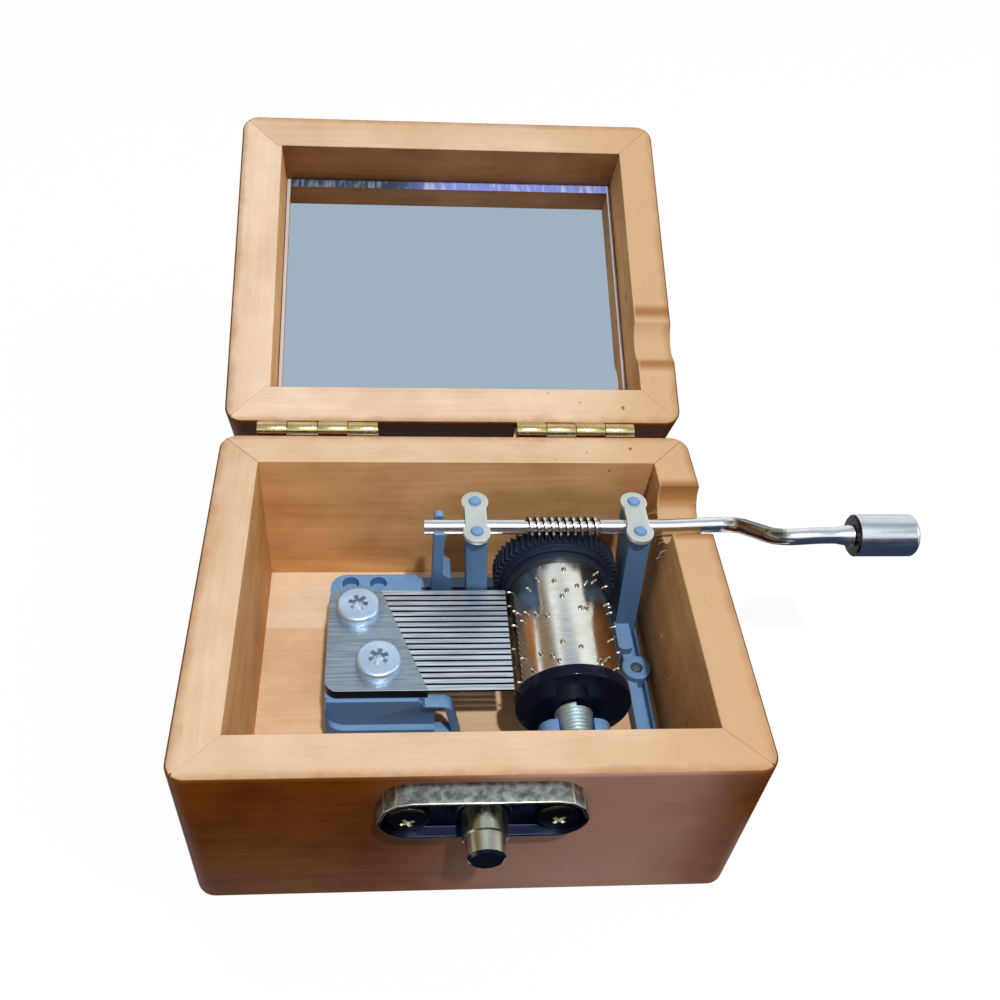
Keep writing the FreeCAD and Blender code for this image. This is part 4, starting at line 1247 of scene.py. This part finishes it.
@dataclass
class Comb(Dressed):
    """The comb, whose thin ground teeth are brighter than its plate."""

    root: Pair = (-7.35, -0.23)
    root_normal: Pair = (0.937, 0.349)

    def divide(self, bm: Mesh) -> None:
        """Divide the top along the line where the teeth begin and mark them in the tip attribute.

        Args:
            bm: the comb's mesh.
        """
        across = Vector((*self.root_normal, 0.0))
        line = Vector((*self.root, 0.0))
        divide_at(bm, line, across)
        mark_faces(bm, "tip", lambda facet: float((facet.centre - line).dot(across) > 0.0))


# ---------------------------------------------------------------- screws
@dataclass(frozen=True)
class CrossHead:
    """A screw head with a cross recess, turned on its own Z axis with its seat at zero."""

    radius: float
    height: float
    edge: float
    recess_length: float
    recess_width: float
    recess_depth: float
    crown: float = 0.0
    arms: int = 2
    recess_taper: float = 0.35
    foot_width: float = 0.6
    recess_reach: float = 0.55
    floor_slope: float = 0.7
    crown_share: float = 0.45
    steps: int = 40

    def build(self, place: Vector, direction: Vector, turn: float) -> Mesh:
        """Make the head: a straight skirt, a rounded edge, a slightly crowned top and the recess.

        Args:
            place: centre of its seat in millimetres.
            direction: the way its top faces.
            turn: turn of the recess.

        Returns:
            The head in metres, in place.
        """
        skirt = rounded(self.radius, self.height - self.crown, self.edge, 5)
        crown = [(self.radius * self.crown_share, self.height - 0.2 * self.crown), (0.0, self.height)]
        cut = carved(turned([(0.0, 0.0), (self.radius, 0.0), *skirt, *crown], self.steps), self._cutter())
        level = self.floor_slope
        mark_faces(cut, "side", lambda facet: float(self._in_recess(facet) and facet.normal.z > level))
        mark_faces(cut, "tip", lambda facet: float(self._in_recess(facet) and facet.normal.z <= level))
        return to_metres(cut, pointing(place, direction, turn))

    def _cutter(self) -> Mesh:
        """The tapered arms that the recess is cut with.

        Returns:
            Their bmesh, one unit to the millimetre.
        """
        cutter = bmesh.new()
        lengths = Vector((self.recess_length, self.recess_width, 2.0 * self.recess_depth))
        for index in range(self.arms):
            arm = bmesh.ops.create_cube(cutter, size=1.0)["verts"]
            bmesh.ops.scale(cutter, vec=lengths, verts=arm)
            foot = [vert for vert in arm if vert.co.z < 0.0]
            bmesh.ops.scale(cutter, vec=Vector((self.recess_taper, self.foot_width, 1.0)), verts=foot)
            spread = Matrix.Rotation(math.pi * index / self.arms, 4, "Z")
            bmesh.ops.transform(cutter, matrix=Matrix.Translation(UP * self.height) @ spread, verts=arm)
        return cutter

    def _in_recess(self, facet: Facet) -> bool:
        """Whether a face of the head belongs to the recess.

        Args:
            facet: the face of a head that is in millimetres, so that its centre is TO_MM times too far out.

        Returns:
            True on the floor and the walls.
        """
        centre = facet.centre * MM
        inside = centre.xy.length < self.recess_reach * self.recess_length
        sunk = centre.z < self.height - self.crown - 0.02 or facet.normal.z < self.floor_slope
        return inside and sunk and centre.z > 0.05


# ---------------------------------------------------------------- drum
@dataclass
class Drum:
    """Sleeve, pins with their sockets, end cap and worm wheel."""

    pin_sides: int = 8
    pin_radius: float = 0.19
    pin_tip_radius: float = 0.12
    pin_tip_length: float = 0.1
    pin_foot: float = -0.05
    pin_degrees: float = 50.0
    socket_radius: float = 0.2
    socket_width: float = 0.13
    socket_height: float = 0.035
    socket_lip: float = 0.02
    cap_cone: float = 0.35
    cap_edge: float = 0.3
    cap_flat_share: float = 0.45
    cap_steps: int = 72
    sleeve_wall: float = 0.36

    def build(self) -> None:
        """Make the drum's pieces."""
        # The nickel's brown at grazing angles is a painted reflection of the wooden walls.
        nickel = MetalFinish(
            "drum_nickel", (0.90, 0.91, 0.84), (0.74, 0.70, 0.60), 0.15, Brushed.ROUND_Y, 3.0, smudge=0.3,
            grazing_reflection=(0.64, 0.45, 0.29),
        )
        nylon = PlasticFinish("wheel_plastic", (0.015, 0.024, 0.048), 0.40, 0.35)
        steel = MetalFinish("arbor_steel", (0.62, 0.66, 0.70), (0.40, 0.42, 0.45), 0.28)
        Dressed("drum_shell", Body.DRUM, "drum_nickel", nickel).build()
        Dressed("worm_wheel", Body.DRUM, "black_plastic", nylon, 0.05, 50.0, 1).build()
        Dressed("drum_arbor", Body.DRUM, "arbor_steel", steel).build()
        self._cap(PlasticFinish("black_plastic", (0.004, 0.007, 0.019), 0.13, 0.18))
        self._pins()

    def _cap(self, finish: Finish) -> None:
        """The front end cap with its shallow cone.

        Args:
            finish: the cap's finish.
        """
        low, high = box_mm("drum_end_cap")
        shell_low, shell_high = box_mm("drum_shell")
        radius = (high.x - low.x) / 2
        length = high.y - low.y
        plug = (shell_high.x - shell_low.x) / 2 - self.sleeve_wall
        seat = length - (shell_low.y - low.y)
        profile = [(0.0, 0.0), (plug, 0.0), (plug, seat), (radius, seat)]
        profile += rounded(radius, length - self.cap_cone, self.cap_edge, 4)
        profile += [(radius * self.cap_flat_share, length), (0.0, length)]
        place = pointing(Vector((DRUM_AXIS.x, high.y, DRUM_AXIS.z)), TO_FRONT)
        bm = to_metres(turned(profile, self.cap_steps), place)
        shade_by_angle(bm)
        settle("drum_end_cap_finished", bm, Body.DRUM, "black_plastic", finish, "drum_end_cap")

    def _pin_places(self) -> list[tuple[Vector, Vector, float]]:
        """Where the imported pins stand.

        Returns:
            Foot, direction and length of every pin.
        """
        places = []
        for points in solids_of("drum_pins"):
            middle = sum(points, Vector()) / len(points)
            axis_point = Vector((DRUM_AXIS.x, middle.y, DRUM_AXIS.z))
            out = (middle - axis_point).normalized()
            reach = [(point - Vector((DRUM_AXIS.x, point.y, DRUM_AXIS.z))).dot(out) for point in points]
            places.append((axis_point + out * min(reach), out, max(reach) - min(reach)))
        return sorted(places, key=lambda pin: (round(pin[0].y, 3), pin[0].x))

    def _pins(self) -> None:
        """Round-tipped pins, each in a small punched socket that is painted dark as the shade of its hole."""
        pin, foot_height = self.pin_radius, self.pin_foot
        ring, wide = self.socket_radius, self.socket_width
        crest = (ring + 0.6 * wide, self.socket_height)
        socket = [(ring, 0.0), (ring + wide, 0.0), crest, (ring, self.socket_lip), (ring, 0.0)]
        pins, sockets = [], []
        for foot, out, length in self._pin_places():
            stand = pointing(foot, out)
            shaft = [(0.0, foot_height), (pin, foot_height), (pin, length - self.pin_tip_length)]
            profile = [*shaft, (self.pin_tip_radius, length), (0.0, length)]
            pins.append(to_metres(turned(profile, self.pin_sides), stand))
            sockets.append(to_metres(turned(socket, self.pin_sides + 2), stand))
        bright = MetalFinish("pin_steel", (0.92, 0.90, 0.84), (0.72, 0.68, 0.60), 0.16, smudge=0.2)
        # The sockets' dark colour is painted shade round each pin's foot.
        dark = MetalFinish("socket_painted_shade", (0.30, 0.26, 0.20), (0.16, 0.13, 0.10), 0.3, smudge=0.5)
        standing = joined(pins, self.pin_degrees)
        settle("drum_pins_finished", standing, Body.DRUM, "drum_nickel", bright, "drum_pins")
        settle("pin_sockets", joined(sockets), Body.DRUM, "drum_nickel", dark)


# ---------------------------------------------------------------- movement
@dataclass
class Movement:
    """Casting, bearing plates, comb, screws, spring, crank and knob."""

    comb_head: CrossHead = CrossHead(2.87, 1.55, 0.5, 3.5, 0.75, 0.85, 0.12, 3, 0.45)
    case_head: CrossHead = CrossHead(2.1, 1.3, 0.4, 2.1, 0.5, 0.8, 0.1)
    shank: float = 0.85
    shank_steps: int = 20
    thread_pitch: float = 0.6
    thread_root: float = 0.82
    thread_rise: float = 0.25
    tip_share: float = 0.6
    spring_coils: int = 8
    spring_wire: float = 0.21
    spring_narrow: float = 1.6
    wire_sides: int = 10
    coil_steps: int = 24
    worm_half: float = 6.0
    bend_range: Pair = (35.2, 39.0)
    comb_rim_width: float = 0.2

    def build(self) -> None:
        """Make the movement's still pieces and the crank."""
        for piece in self._dressed():
            piece.build()
        self._comb_screws()
        self._case_screws()
        self._spring(MetalFinish("spring_steel", (0.80, 0.97, 1.0), (0.52, 0.74, 0.95), 0.40))

    def _dressed(self) -> tuple[Dressed, ...]:
        """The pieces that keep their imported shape.

        Returns:
            The pieces with their finishes.
        """
        # The frame's upright faces are painted darker as shade; its paler edges are wear.
        zinc = SpeckledFinish(
            "frame_zinc", (0.172, 0.322, 0.560), (0.200, 0.362, 0.620), (0.24, 0.40, 0.63), 0.45, 0.0, 2.2,
            gloss=0.15, edge_share=0.3, side_colour=(0.090, 0.186, 0.350),
        )
        plate = MetalFinish(
            "plate_steel", (0.63, 0.67, 0.64), (0.50, 0.54, 0.50), 0.38, Brushed.NOT, 4.0, metallic=0.55,
            edge_colour=(0.88, 0.90, 0.84),
        )
        # The comb's upright faces and slot edges are painted near black as shade, and its outline bright as a
        # highlight.
        ground = MetalFinish(
            "comb_steel", (0.45, 0.54, 0.61), (0.17, 0.21, 0.25), 0.40, Brushed.ALONG_X, 3.2, smudge=0.3,
            edge_colour=(0.80, 0.86, 0.92), side_colour=(0.012, 0.014, 0.018), tip_colour=(0.86, 0.93, 1.0),
            line_share=0.5,
        )
        lead = MetalFinish("tooth_lead", (0.22, 0.23, 0.25), (0.14, 0.15, 0.16), 0.5)
        # The crank is painted dark on the thread's flanks as shade and along the bend as a dark reflection.
        chrome = MetalFinish(
            "crank_chrome", (0.92, 0.93, 0.95), (0.60, 0.60, 0.61), 0.19, Brushed.ALONG_X, 2.5,
            side_colour=(0.120, 0.120, 0.105), line_share=0.35, relief=0.001,
        )
        # The knob's inner end is painted dark as shade.
        satin = MetalFinish(
            "knob_steel", (0.74, 0.78, 0.83), (0.60, 0.65, 0.71), 0.22, Brushed.ALONG_X, 2.0,
            side_colour=(0.045, 0.045, 0.050), relief=0.0008,
        )
        return (
            Dressed("movement_frame", Body.BASE, "frame_zinc", zinc, 0.09, side_share=self._upright_shade),
            Dressed("bearing_plates", Body.BASE, "plate_steel", plate, 0.07),
            Comb("comb", Body.BASE, "comb_steel", ground, 0.045, 50.0, 1, self._comb_shade, self._comb_rim),
            Dressed("comb_weights", Body.BASE, "tooth_lead", lead),
            Dressed("crank_rod", Body.CRANK, "crank_chrome", chrome, side_share=self._crank_shade),
            Dressed("crank_knob", Body.KNOB, "knob_steel", satin, side_share=self._knob_shade),
        )

    @staticmethod
    def _upright_shade(facet: Facet) -> float:
        """1 on upright faces, whose coat is painted darker than the tops as shade."""
        return min(1.0, max(0.0, 1.6 - 2.0 * abs(facet.normal.z)))

    def _comb_rim(self, facet: Facet) -> float:
        """1 along the plate's outline, painted bright as a highlight, 0 in the slots between the teeth.

        Args:
            facet: a face of the comb.

        Returns:
            Its share of the painted highlight.
        """
        low, high = box_mm("comb")
        inset = min(facet.centre.y - low.y, high.y - facet.centre.y, facet.centre.x - low.x)
        return float(inset < self.comb_rim_width and facet.normal.z > 0.2)

    def _comb_shade(self, facet: Facet) -> float:
        """1 on the comb's upright faces and on the eased edges of its slots, which are painted near black as
        shade.

        Args:
            facet: a face of the comb.

        Returns:
            Its share of the painted shade.
        """
        if abs(facet.normal.z) < 0.5:
            return 1.0
        return 0.0 if facet.normal.z > 0.95 else 1.0 - self._comb_rim(facet)

    def _crank_shade(self, facet: Facet) -> float:
        """Share of painted dark on the crank: shade on the thread's flanks and a dark reflection along the
        bend.

        Args:
            facet: a face of the crank.

        Returns:
            Its share of the painted dark colour.
        """
        if abs(facet.centre.x - DRUM_AXIS.x) < self.worm_half:
            return min(1.0, 1.5 * abs(facet.normal.x))
        start, end = self.bend_range
        if facet.centre.x < start or facet.centre.x > end:
            return 0.0
        return min(0.85, 1.6 * math.sin(math.pi * (facet.centre.x - start) / (end - start)))

    @staticmethod
    def _knob_shade(facet: Facet) -> float:
        """1 on the knob's inner end, which faces the case and is painted dark as shade."""
        return float(facet.normal.x < -0.6)

    def _comb_screws(self) -> None:
        """The two pan-head screws on the comb."""
        # The recess is painted pale on its floor as a highlight and darker on its walls as shade.
        pale = MetalFinish(
            "screw_zinc", (0.60, 0.77, 0.97), (0.44, 0.58, 0.76), 0.30, Brushed.NOT, 3.0, metallic=0.75,
            smudge=0.5, side_colour=(0.90, 0.95, 1.0), tip_colour=(0.42, 0.51, 0.63),
        )
        heads = []
        for index, middle in enumerate(middles_of("comb_screws")):
            seat = Vector((middle.x, middle.y, box_mm("comb")[1].z))
            heads.append(self.comb_head.build(seat, UP, 0.35 + 0.5 * index))
        settle("comb_screws_finished", joined(heads), Body.BASE, "screw_steel", pale, "comb_screws")

    def _case_screws(self) -> None:
        """The three screws up through the floor, with their cross heads below and tips above."""
        low, high = box_mm("case_screws")
        seat_height = low.z + self.case_head.height
        length = high.z - seat_height
        turns = int(length / self.thread_pitch)
        profile = [(0.0, 0.0), (self.shank, 0.0)]
        for turn in range(turns):
            height = length * (turn + 0.5) / (turns + 1)
            root = (self.shank * self.thread_root, height + self.thread_rise)
            profile += [(self.shank, height), root]
        profile += [(self.shank * self.tip_share, length), (0.0, length)]
        parts = []
        for index, middle in enumerate(middles_of("case_screws")):
            seat = Vector((middle.x, middle.y, seat_height))
            parts.append(self.case_head.build(seat, -UP, 0.9 * index))
            parts.append(to_metres(turned(profile, self.shank_steps), pointing(seat, UP)))
        steel = MetalFinish("case_screw_steel", (0.66, 0.68, 0.70), (0.44, 0.45, 0.47), 0.3)
        settle("case_screws_finished", joined(parts), Body.BASE, "screw_steel", steel, "case_screws")

    def _spring(self, finish: Finish) -> None:
        """The tapered spring in front of the end cap.

        Args:
            finish: its finish.
        """
        low, high = box_mm("arbor_spring")
        start = low.y + self.spring_wire
        run = high.y - low.y - 2 * self.spring_wire
        widening = (high.x - low.x) / 2 - self.spring_wire - self.spring_narrow
        bm = bmesh.new()
        made = bmesh.ops.create_circle(bm, segments=self.wire_sides, radius=self.spring_wire)["verts"]
        first = Matrix.Translation((DRUM_AXIS.x, start, DRUM_AXIS.z + self.spring_narrow))
        bmesh.ops.transform(bm, matrix=first @ Matrix.Rotation(QUARTER_TURN, 4, "Y"), verts=made)
        steps = self.spring_coils * self.coil_steps
        bmesh.ops.spin(
            bm,
            geom=made + list({edge for vert in made for edge in vert.link_edges}),
            cent=(DRUM_AXIS.x, 0.0, DRUM_AXIS.z),
            axis=(0.0, 1.0, 0.0),
            dvec=(0.0, run / steps, 0.0),
            angle=math.tau * self.spring_coils,
            steps=steps,
        )
        for vert in bm.verts:
            out = Vector((vert.co.x - DRUM_AXIS.x, 0.0, vert.co.z - DRUM_AXIS.z))
            share = min(1.0, max(0.0, (vert.co.y - start) / run))
            vert.co += out.normalized() * widening * share
        bmesh.ops.holes_fill(bm, edges=bm.edges, sides=self.wire_sides)
        bmesh.ops.recalc_face_normals(bm, faces=bm.faces)
        to_metres(bm, Matrix())
        shade_by_angle(bm)
        settle("arbor_spring_finished", bm, Body.BASE, "arbor_steel", finish, "arbor_spring")


# ---------------------------------------------------------------- hinges and catch
@dataclass
class Fittings:
    """The brass hinges with their nails, and the catch on the front."""

    catch_head: CrossHead = CrossHead(2.3, 1.0, 0.35, 2.6, 0.55, 0.5, 0.25)
    rim_height: float = 0.75
    rim_length: float = 2.6
    highlight_above: float = 0.4
    shade_below: float = -0.6
    dish_from: float = 0.2
    tip_length: float = 0.35

    def build(self) -> None:
        """Make the hinges and the catch."""
        brass = MetalFinish(
            "hinge_brass", (0.80, 0.61, 0.29), (0.52, 0.35, 0.14), 0.2, Brushed.NOT, 4.0, smudge=0.5,
            edge_colour=(0.95, 0.80, 0.48),
        )
        # The aged brass is painted bright along the plate's upper edges as a highlight, and dark navy in the
        # dish, as patina with a painted reflection, and on the lower rim as painted shade.
        aged = SpeckledFinish(
            "aged_brass", (0.150, 0.165, 0.150), (0.40, 0.43, 0.39), (0.72, 0.78, 0.62), 0.32, 1.0, 1.1, 0.5,
            0.006, softness=0.16, side_colour=(0.013, 0.018, 0.040),
        )
        # The post's tip takes a darker colour as a painted dark reflection.
        bronze = MetalFinish(
            "post_bronze", (0.66, 0.64, 0.50), (0.26, 0.24, 0.17), 0.24, Brushed.ALONG_Y, 2.0, smudge=0.6,
            side_colour=(0.090, 0.110, 0.140), relief=0.001,
        )
        for node, body, width in (
            ("hinge_base_leaves", Body.BASE, 0.05),
            ("hinge_pins", Body.BASE, 0.0),
            ("base_hinge_nails", Body.BASE, 0.0),
            ("hinge_lid_leaves", Body.LID, 0.05),
            ("lid_hinge_nails", Body.LID, 0.0),
        ):
            Dressed(node, body, "hinge_brass", brass, width).build()
        Dressed(
            "catch_plate", Body.BASE, "aged_brass", aged, 0.14, 20.0,
            side_share=self._plate_shade, edge_kept=self._plate_rim,
        ).build()
        Dressed("catch_post", Body.BASE, "aged_brass", bronze, side_share=self._post_shade).build()
        self._catch_screws()

    def _plate_rim(self, facet: Facet) -> float:
        """1 along the upper outline of the catch plate, whose rounded edges are painted bright as a
        highlight.

        Args:
            facet: a face of the plate.

        Returns:
            Its share of the painted highlight.
        """
        low, high = box_mm("catch_plate")
        from_middle = facet.centre - (low + high) / 2
        at_end = abs(from_middle.x) > (high.x - low.x) / 2 - self.rim_length
        outline = facet.centre.z > high.z - self.rim_height or at_end
        return float(outline and from_middle.z > self.highlight_above)

    def _plate_shade(self, facet: Facet) -> float:
        """1 in the plate's dish, dark as patina in its hollow with a painted navy reflection, and along its
        lower rim, painted dark as shade.

        Args:
            facet: a face of the plate.

        Returns:
            Its share of the dark colour: patina, painted reflection and painted shade.
        """
        low, high = box_mm("catch_plate")
        from_middle = facet.centre - (low + high) / 2
        inward = from_middle.x * facet.normal.x + from_middle.z * facet.normal.z < -0.05
        sunk = facet.normal.y < -0.9 and facet.centre.y > low.y + self.dish_from
        return float(inward or sunk or from_middle.z < self.shade_below)

    def _post_shade(self, facet: Facet) -> float:
        """1 near the tip of the catch post, which is painted dark as a reflection."""
        return float(facet.centre.y < box_mm("catch_post")[0].y + self.tip_length)

    def _catch_screws(self) -> None:
        """The two screws of the catch."""
        low, high = box_mm("catch_screws")
        dark = MetalFinish(
            "catch_screw_brass", (0.050, 0.052, 0.048), (0.025, 0.027, 0.030), 0.3, smudge=0.6,
            side_colour=(0.85, 0.82, 0.70), tip_colour=(0.85, 0.82, 0.70),
        )
        heads = []
        for index, x in enumerate((low.x + self.catch_head.radius, high.x - self.catch_head.radius)):
            seat = Vector((x, low.y + self.catch_head.height, (low.z + high.z) / 2))
            heads.append(self.catch_head.build(seat, TO_FRONT, 0.5 + 0.35 * index))
        settle("catch_screws_finished", joined(heads), Body.BASE, "aged_brass", dark, "catch_screws")


# ---------------------------------------------------------------- stage
@dataclass(frozen=True)
class ViewPoint:
    """The camera: place and turn in the row frame, lens in pixels of a square picture."""

    place: Triple = (-8.8033, -78.7723, 121.3496)
    pitch_down: float = 0.7885
    yaw_right: float = 0.0983
    roll: float = 0.0720
    focal_px: float = 1024.69
    centre_px: Pair = (463.81, 494.67)
    picture_px: float = 1000.0
    sensor: float = 36.0
    clip: Pair = (0.005, 50.0)

    def build(self) -> None:
        """Make the camera and set it as the scene's."""
        east, north = math.sin(self.yaw_right), math.cos(self.yaw_right)
        flat = math.cos(self.pitch_down)
        ahead = Vector((east * flat, north * flat, -math.sin(self.pitch_down)))
        level = Vector((north, -east, 0.0))
        upright = level.cross(ahead)
        right = math.cos(self.roll) * level + math.sin(self.roll) * upright
        up = math.cos(self.roll) * upright - math.sin(self.roll) * level
        data = bpy.data.cameras.new("view")
        data.sensor_width = self.sensor
        data.lens = self.focal_px * self.sensor / self.picture_px
        data.shift_x = (self.picture_px / 2 - self.centre_px[0]) / self.picture_px
        data.shift_y = (self.centre_px[1] - self.picture_px / 2) / self.picture_px
        data.clip_start, data.clip_end = self.clip
        camera = bpy.data.objects.new("view", data)
        turn = Matrix((right, up, -ahead)).transposed().to_4x4()
        camera.matrix_world = Matrix.Translation(Vector(self.place) * MM) @ turn
        bpy.context.scene.collection.objects.link(camera)
        bpy.context.scene.camera = camera


@dataclass(frozen=True)
class Lamp:
    """A square area lamp that faces the object; its lengths are in metres."""

    name: str
    towards: Triple
    distance: float
    size: float
    power: float
    colour: Triple = (1.0, 1.0, 1.0)

    def build(self, target: Vector) -> None:
        """Hang the lamp.

        Args:
            target: the point it faces, in metres.
        """
        data = bpy.data.lights.new(self.name, "AREA")
        data.shape = "SQUARE"
        data.size = self.size
        data.energy = self.power
        data.color = self.colour
        lamp = bpy.data.objects.new(self.name, data)
        direction = Vector(self.towards).normalized()
        lamp.matrix_world = pointing(target + direction * self.distance, direction)
        bpy.context.scene.collection.objects.link(lamp)


def sheet(name: str, lengths: Pair, place: Matrix) -> tuple[bpy.types.Object, Shader]:
    """A flat sheet of the stage.

    Args:
        name: name of the sheet and of its material.
        lengths: its two lengths in millimetres.
        place: where it is, in millimetres.

    Returns:
        The sheet and the helper of its material, which has only an output yet.
    """
    bm = bmesh.new()
    bmesh.ops.create_grid(bm, x_segments=1, y_segments=1, size=0.5)
    bmesh.ops.scale(bm, vec=(*lengths, 1.0), verts=bm.verts)
    made = object_from(name, to_metres(bm, place))
    material = bpy.data.materials.new(name)
    material.use_nodes = True
    tree = material.node_tree
    tree.nodes.remove(tree.nodes["Principled BSDF"])
    made.data.materials.append(material)
    return made, Shader(tree)


@dataclass(frozen=True)
class Card:
    """A dark or pale board that only shows in reflections."""

    name: str
    centre: Triple
    lengths: Pair
    tilt: float
    colour: Triple = (0.030, 0.045, 0.085)

    def build(self) -> None:
        """Stand the card."""
        place = Matrix.Translation(self.centre) @ Matrix.Rotation(self.tilt, 4, "X")
        card, shader = sheet(self.name, self.lengths, place)
        shader.show(shader.feed(shader.node("ShaderNodeEmission"), Color=self.colour, Strength=1.0))
        card.visible_camera = False
        card.visible_diffuse = False
        card.visible_transmission = False
        card.visible_shadow = False


@dataclass
class Studio:
    """Floor, world, lamps, cards and camera."""

    floor_size: float = 8000.0
    floor_glow: float = 0.92
    floor_white: float = 0.98
    floor_bounce: float = 0.24
    aim_height: float = 0.02
    horizon: Triple = (0.92, 0.93, 0.94)
    room: Triple = (0.36, 0.41, 0.46)
    room_foot: Triple = (0.24, 0.27, 0.30)
    zenith: Triple = (0.44, 0.51, 0.58)
    pane: Triple = (0.86, 0.89, 0.90)
    dim_corner: Triple = (0.25, 0.17, 0.10)
    lamps: tuple[Lamp, ...] = (
        Lamp("ceiling_lamp", (0.10, -0.40, 1.0), 0.95, 0.03, 5.7, (1.0, 0.98, 0.94)),
        Lamp("side_fill", (0.85, -0.15, 0.50), 0.80, 0.50, 1.1, (1.0, 0.97, 0.93)),
    )
    cards: tuple[Card, ...] = (
        Card("dark_table", (220.0, -150.0, 0.4), (360.0, 500.0), 0.0),
        Card("dark_foot", (0.0, -75.0, 0.4), (100.0, 90.0), 0.0, (0.022, 0.028, 0.045)),
        Card("dark_front", (0.0, -330.0, 120.0), (900.0, 240.0), QUARTER_TURN),
        Card("pale_wall", (0.0, -330.0, 400.0), (900.0, 320.0), QUARTER_TURN, (0.95, 0.98, 1.0)),
    )

    def build(self) -> None:
        """Set the stage."""
        self._floor()
        self._world()
        for lamp in self.lamps:
            lamp.build(UP * self.aim_height)
        for card in self.cards:
            card.build()
        ViewPoint().build()
        bpy.context.scene.view_settings.view_transform = "Standard"

    def _floor(self) -> None:
        """A white floor that takes a faint shadow and throws little light back at the object."""
        _, shader = sheet("floor", (self.floor_size, self.floor_size), Matrix())
        shaded = shader.feed(shader.node("ShaderNodeBsdfDiffuse"), Color=(self.floor_white,) * 3)
        glow = shader.feed(shader.node("ShaderNodeEmission"), Color=(1.0, 1.0, 1.0), Strength=1.0)
        quiet = shader.feed(shader.node("ShaderNodeBsdfDiffuse"), Color=(self.floor_bounce,) * 3)
        pale = shader.blend(self.floor_glow, shaded, glow)
        shader.show(shader.blend(shader.seen_rays(), quiet, pale))

    def _world(self) -> None:
        """A dim room, pale along the horizon, with one bright pane behind the object."""
        world = bpy.data.worlds.new("studio")
        world.use_nodes = True
        bpy.context.scene.world = world
        shader = Shader(world.node_tree)
        place = shader.split(shader.node("ShaderNodeTexCoord").outputs["Generated"])
        height = place["Z"]
        bearing = shader.math("ARCTAN2", place["X"], place["Y"])
        above = shader.step(height, 0.20, 0.40)
        corner = shader.times(self._band(shader, bearing, (-1.75, -0.72), 0.1), above)
        pane = shader.times(self._band(shader, bearing, (-0.62, 0.88), 0.08), shader.step(height, 0.24, 0.30))
        pane = shader.times(pane, shader.rest(shader.step(height, 0.76, 0.80)))
        colour = shader.mix(above, shader.mix(shader.seen_rays(), self.room_foot, self.horizon), self.room)
        colour = shader.mix(pane, shader.mix(corner, colour, self.dim_corner), self.pane)
        colour = shader.mix(shader.step(height, 0.78, 0.92), colour, self.zenith)
        shader.feed(world.node_tree.nodes["Background"], Color=colour, Strength=1.0)

    @staticmethod
    def _band(shader: Shader, bearing: Socket, ends: Pair, soft: float) -> Socket:
        """A mask between two bearings, with borders so many radians soft."""
        start, end = (shader.step(bearing, limit, limit + soft) for limit in ends)
        return shader.times(start, shader.rest(end))


# ---------------------------------------------------------------- assembly
def main() -> None:
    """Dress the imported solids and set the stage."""
    logging.basicConfig(level=logging.INFO, format="%(name)s: %(message)s")
    for group in (Case(), Drum(), Movement(), Fittings(), Studio()):
        group.build()
    log.info("sizes written")


if __name__ == "__main__":
    main()
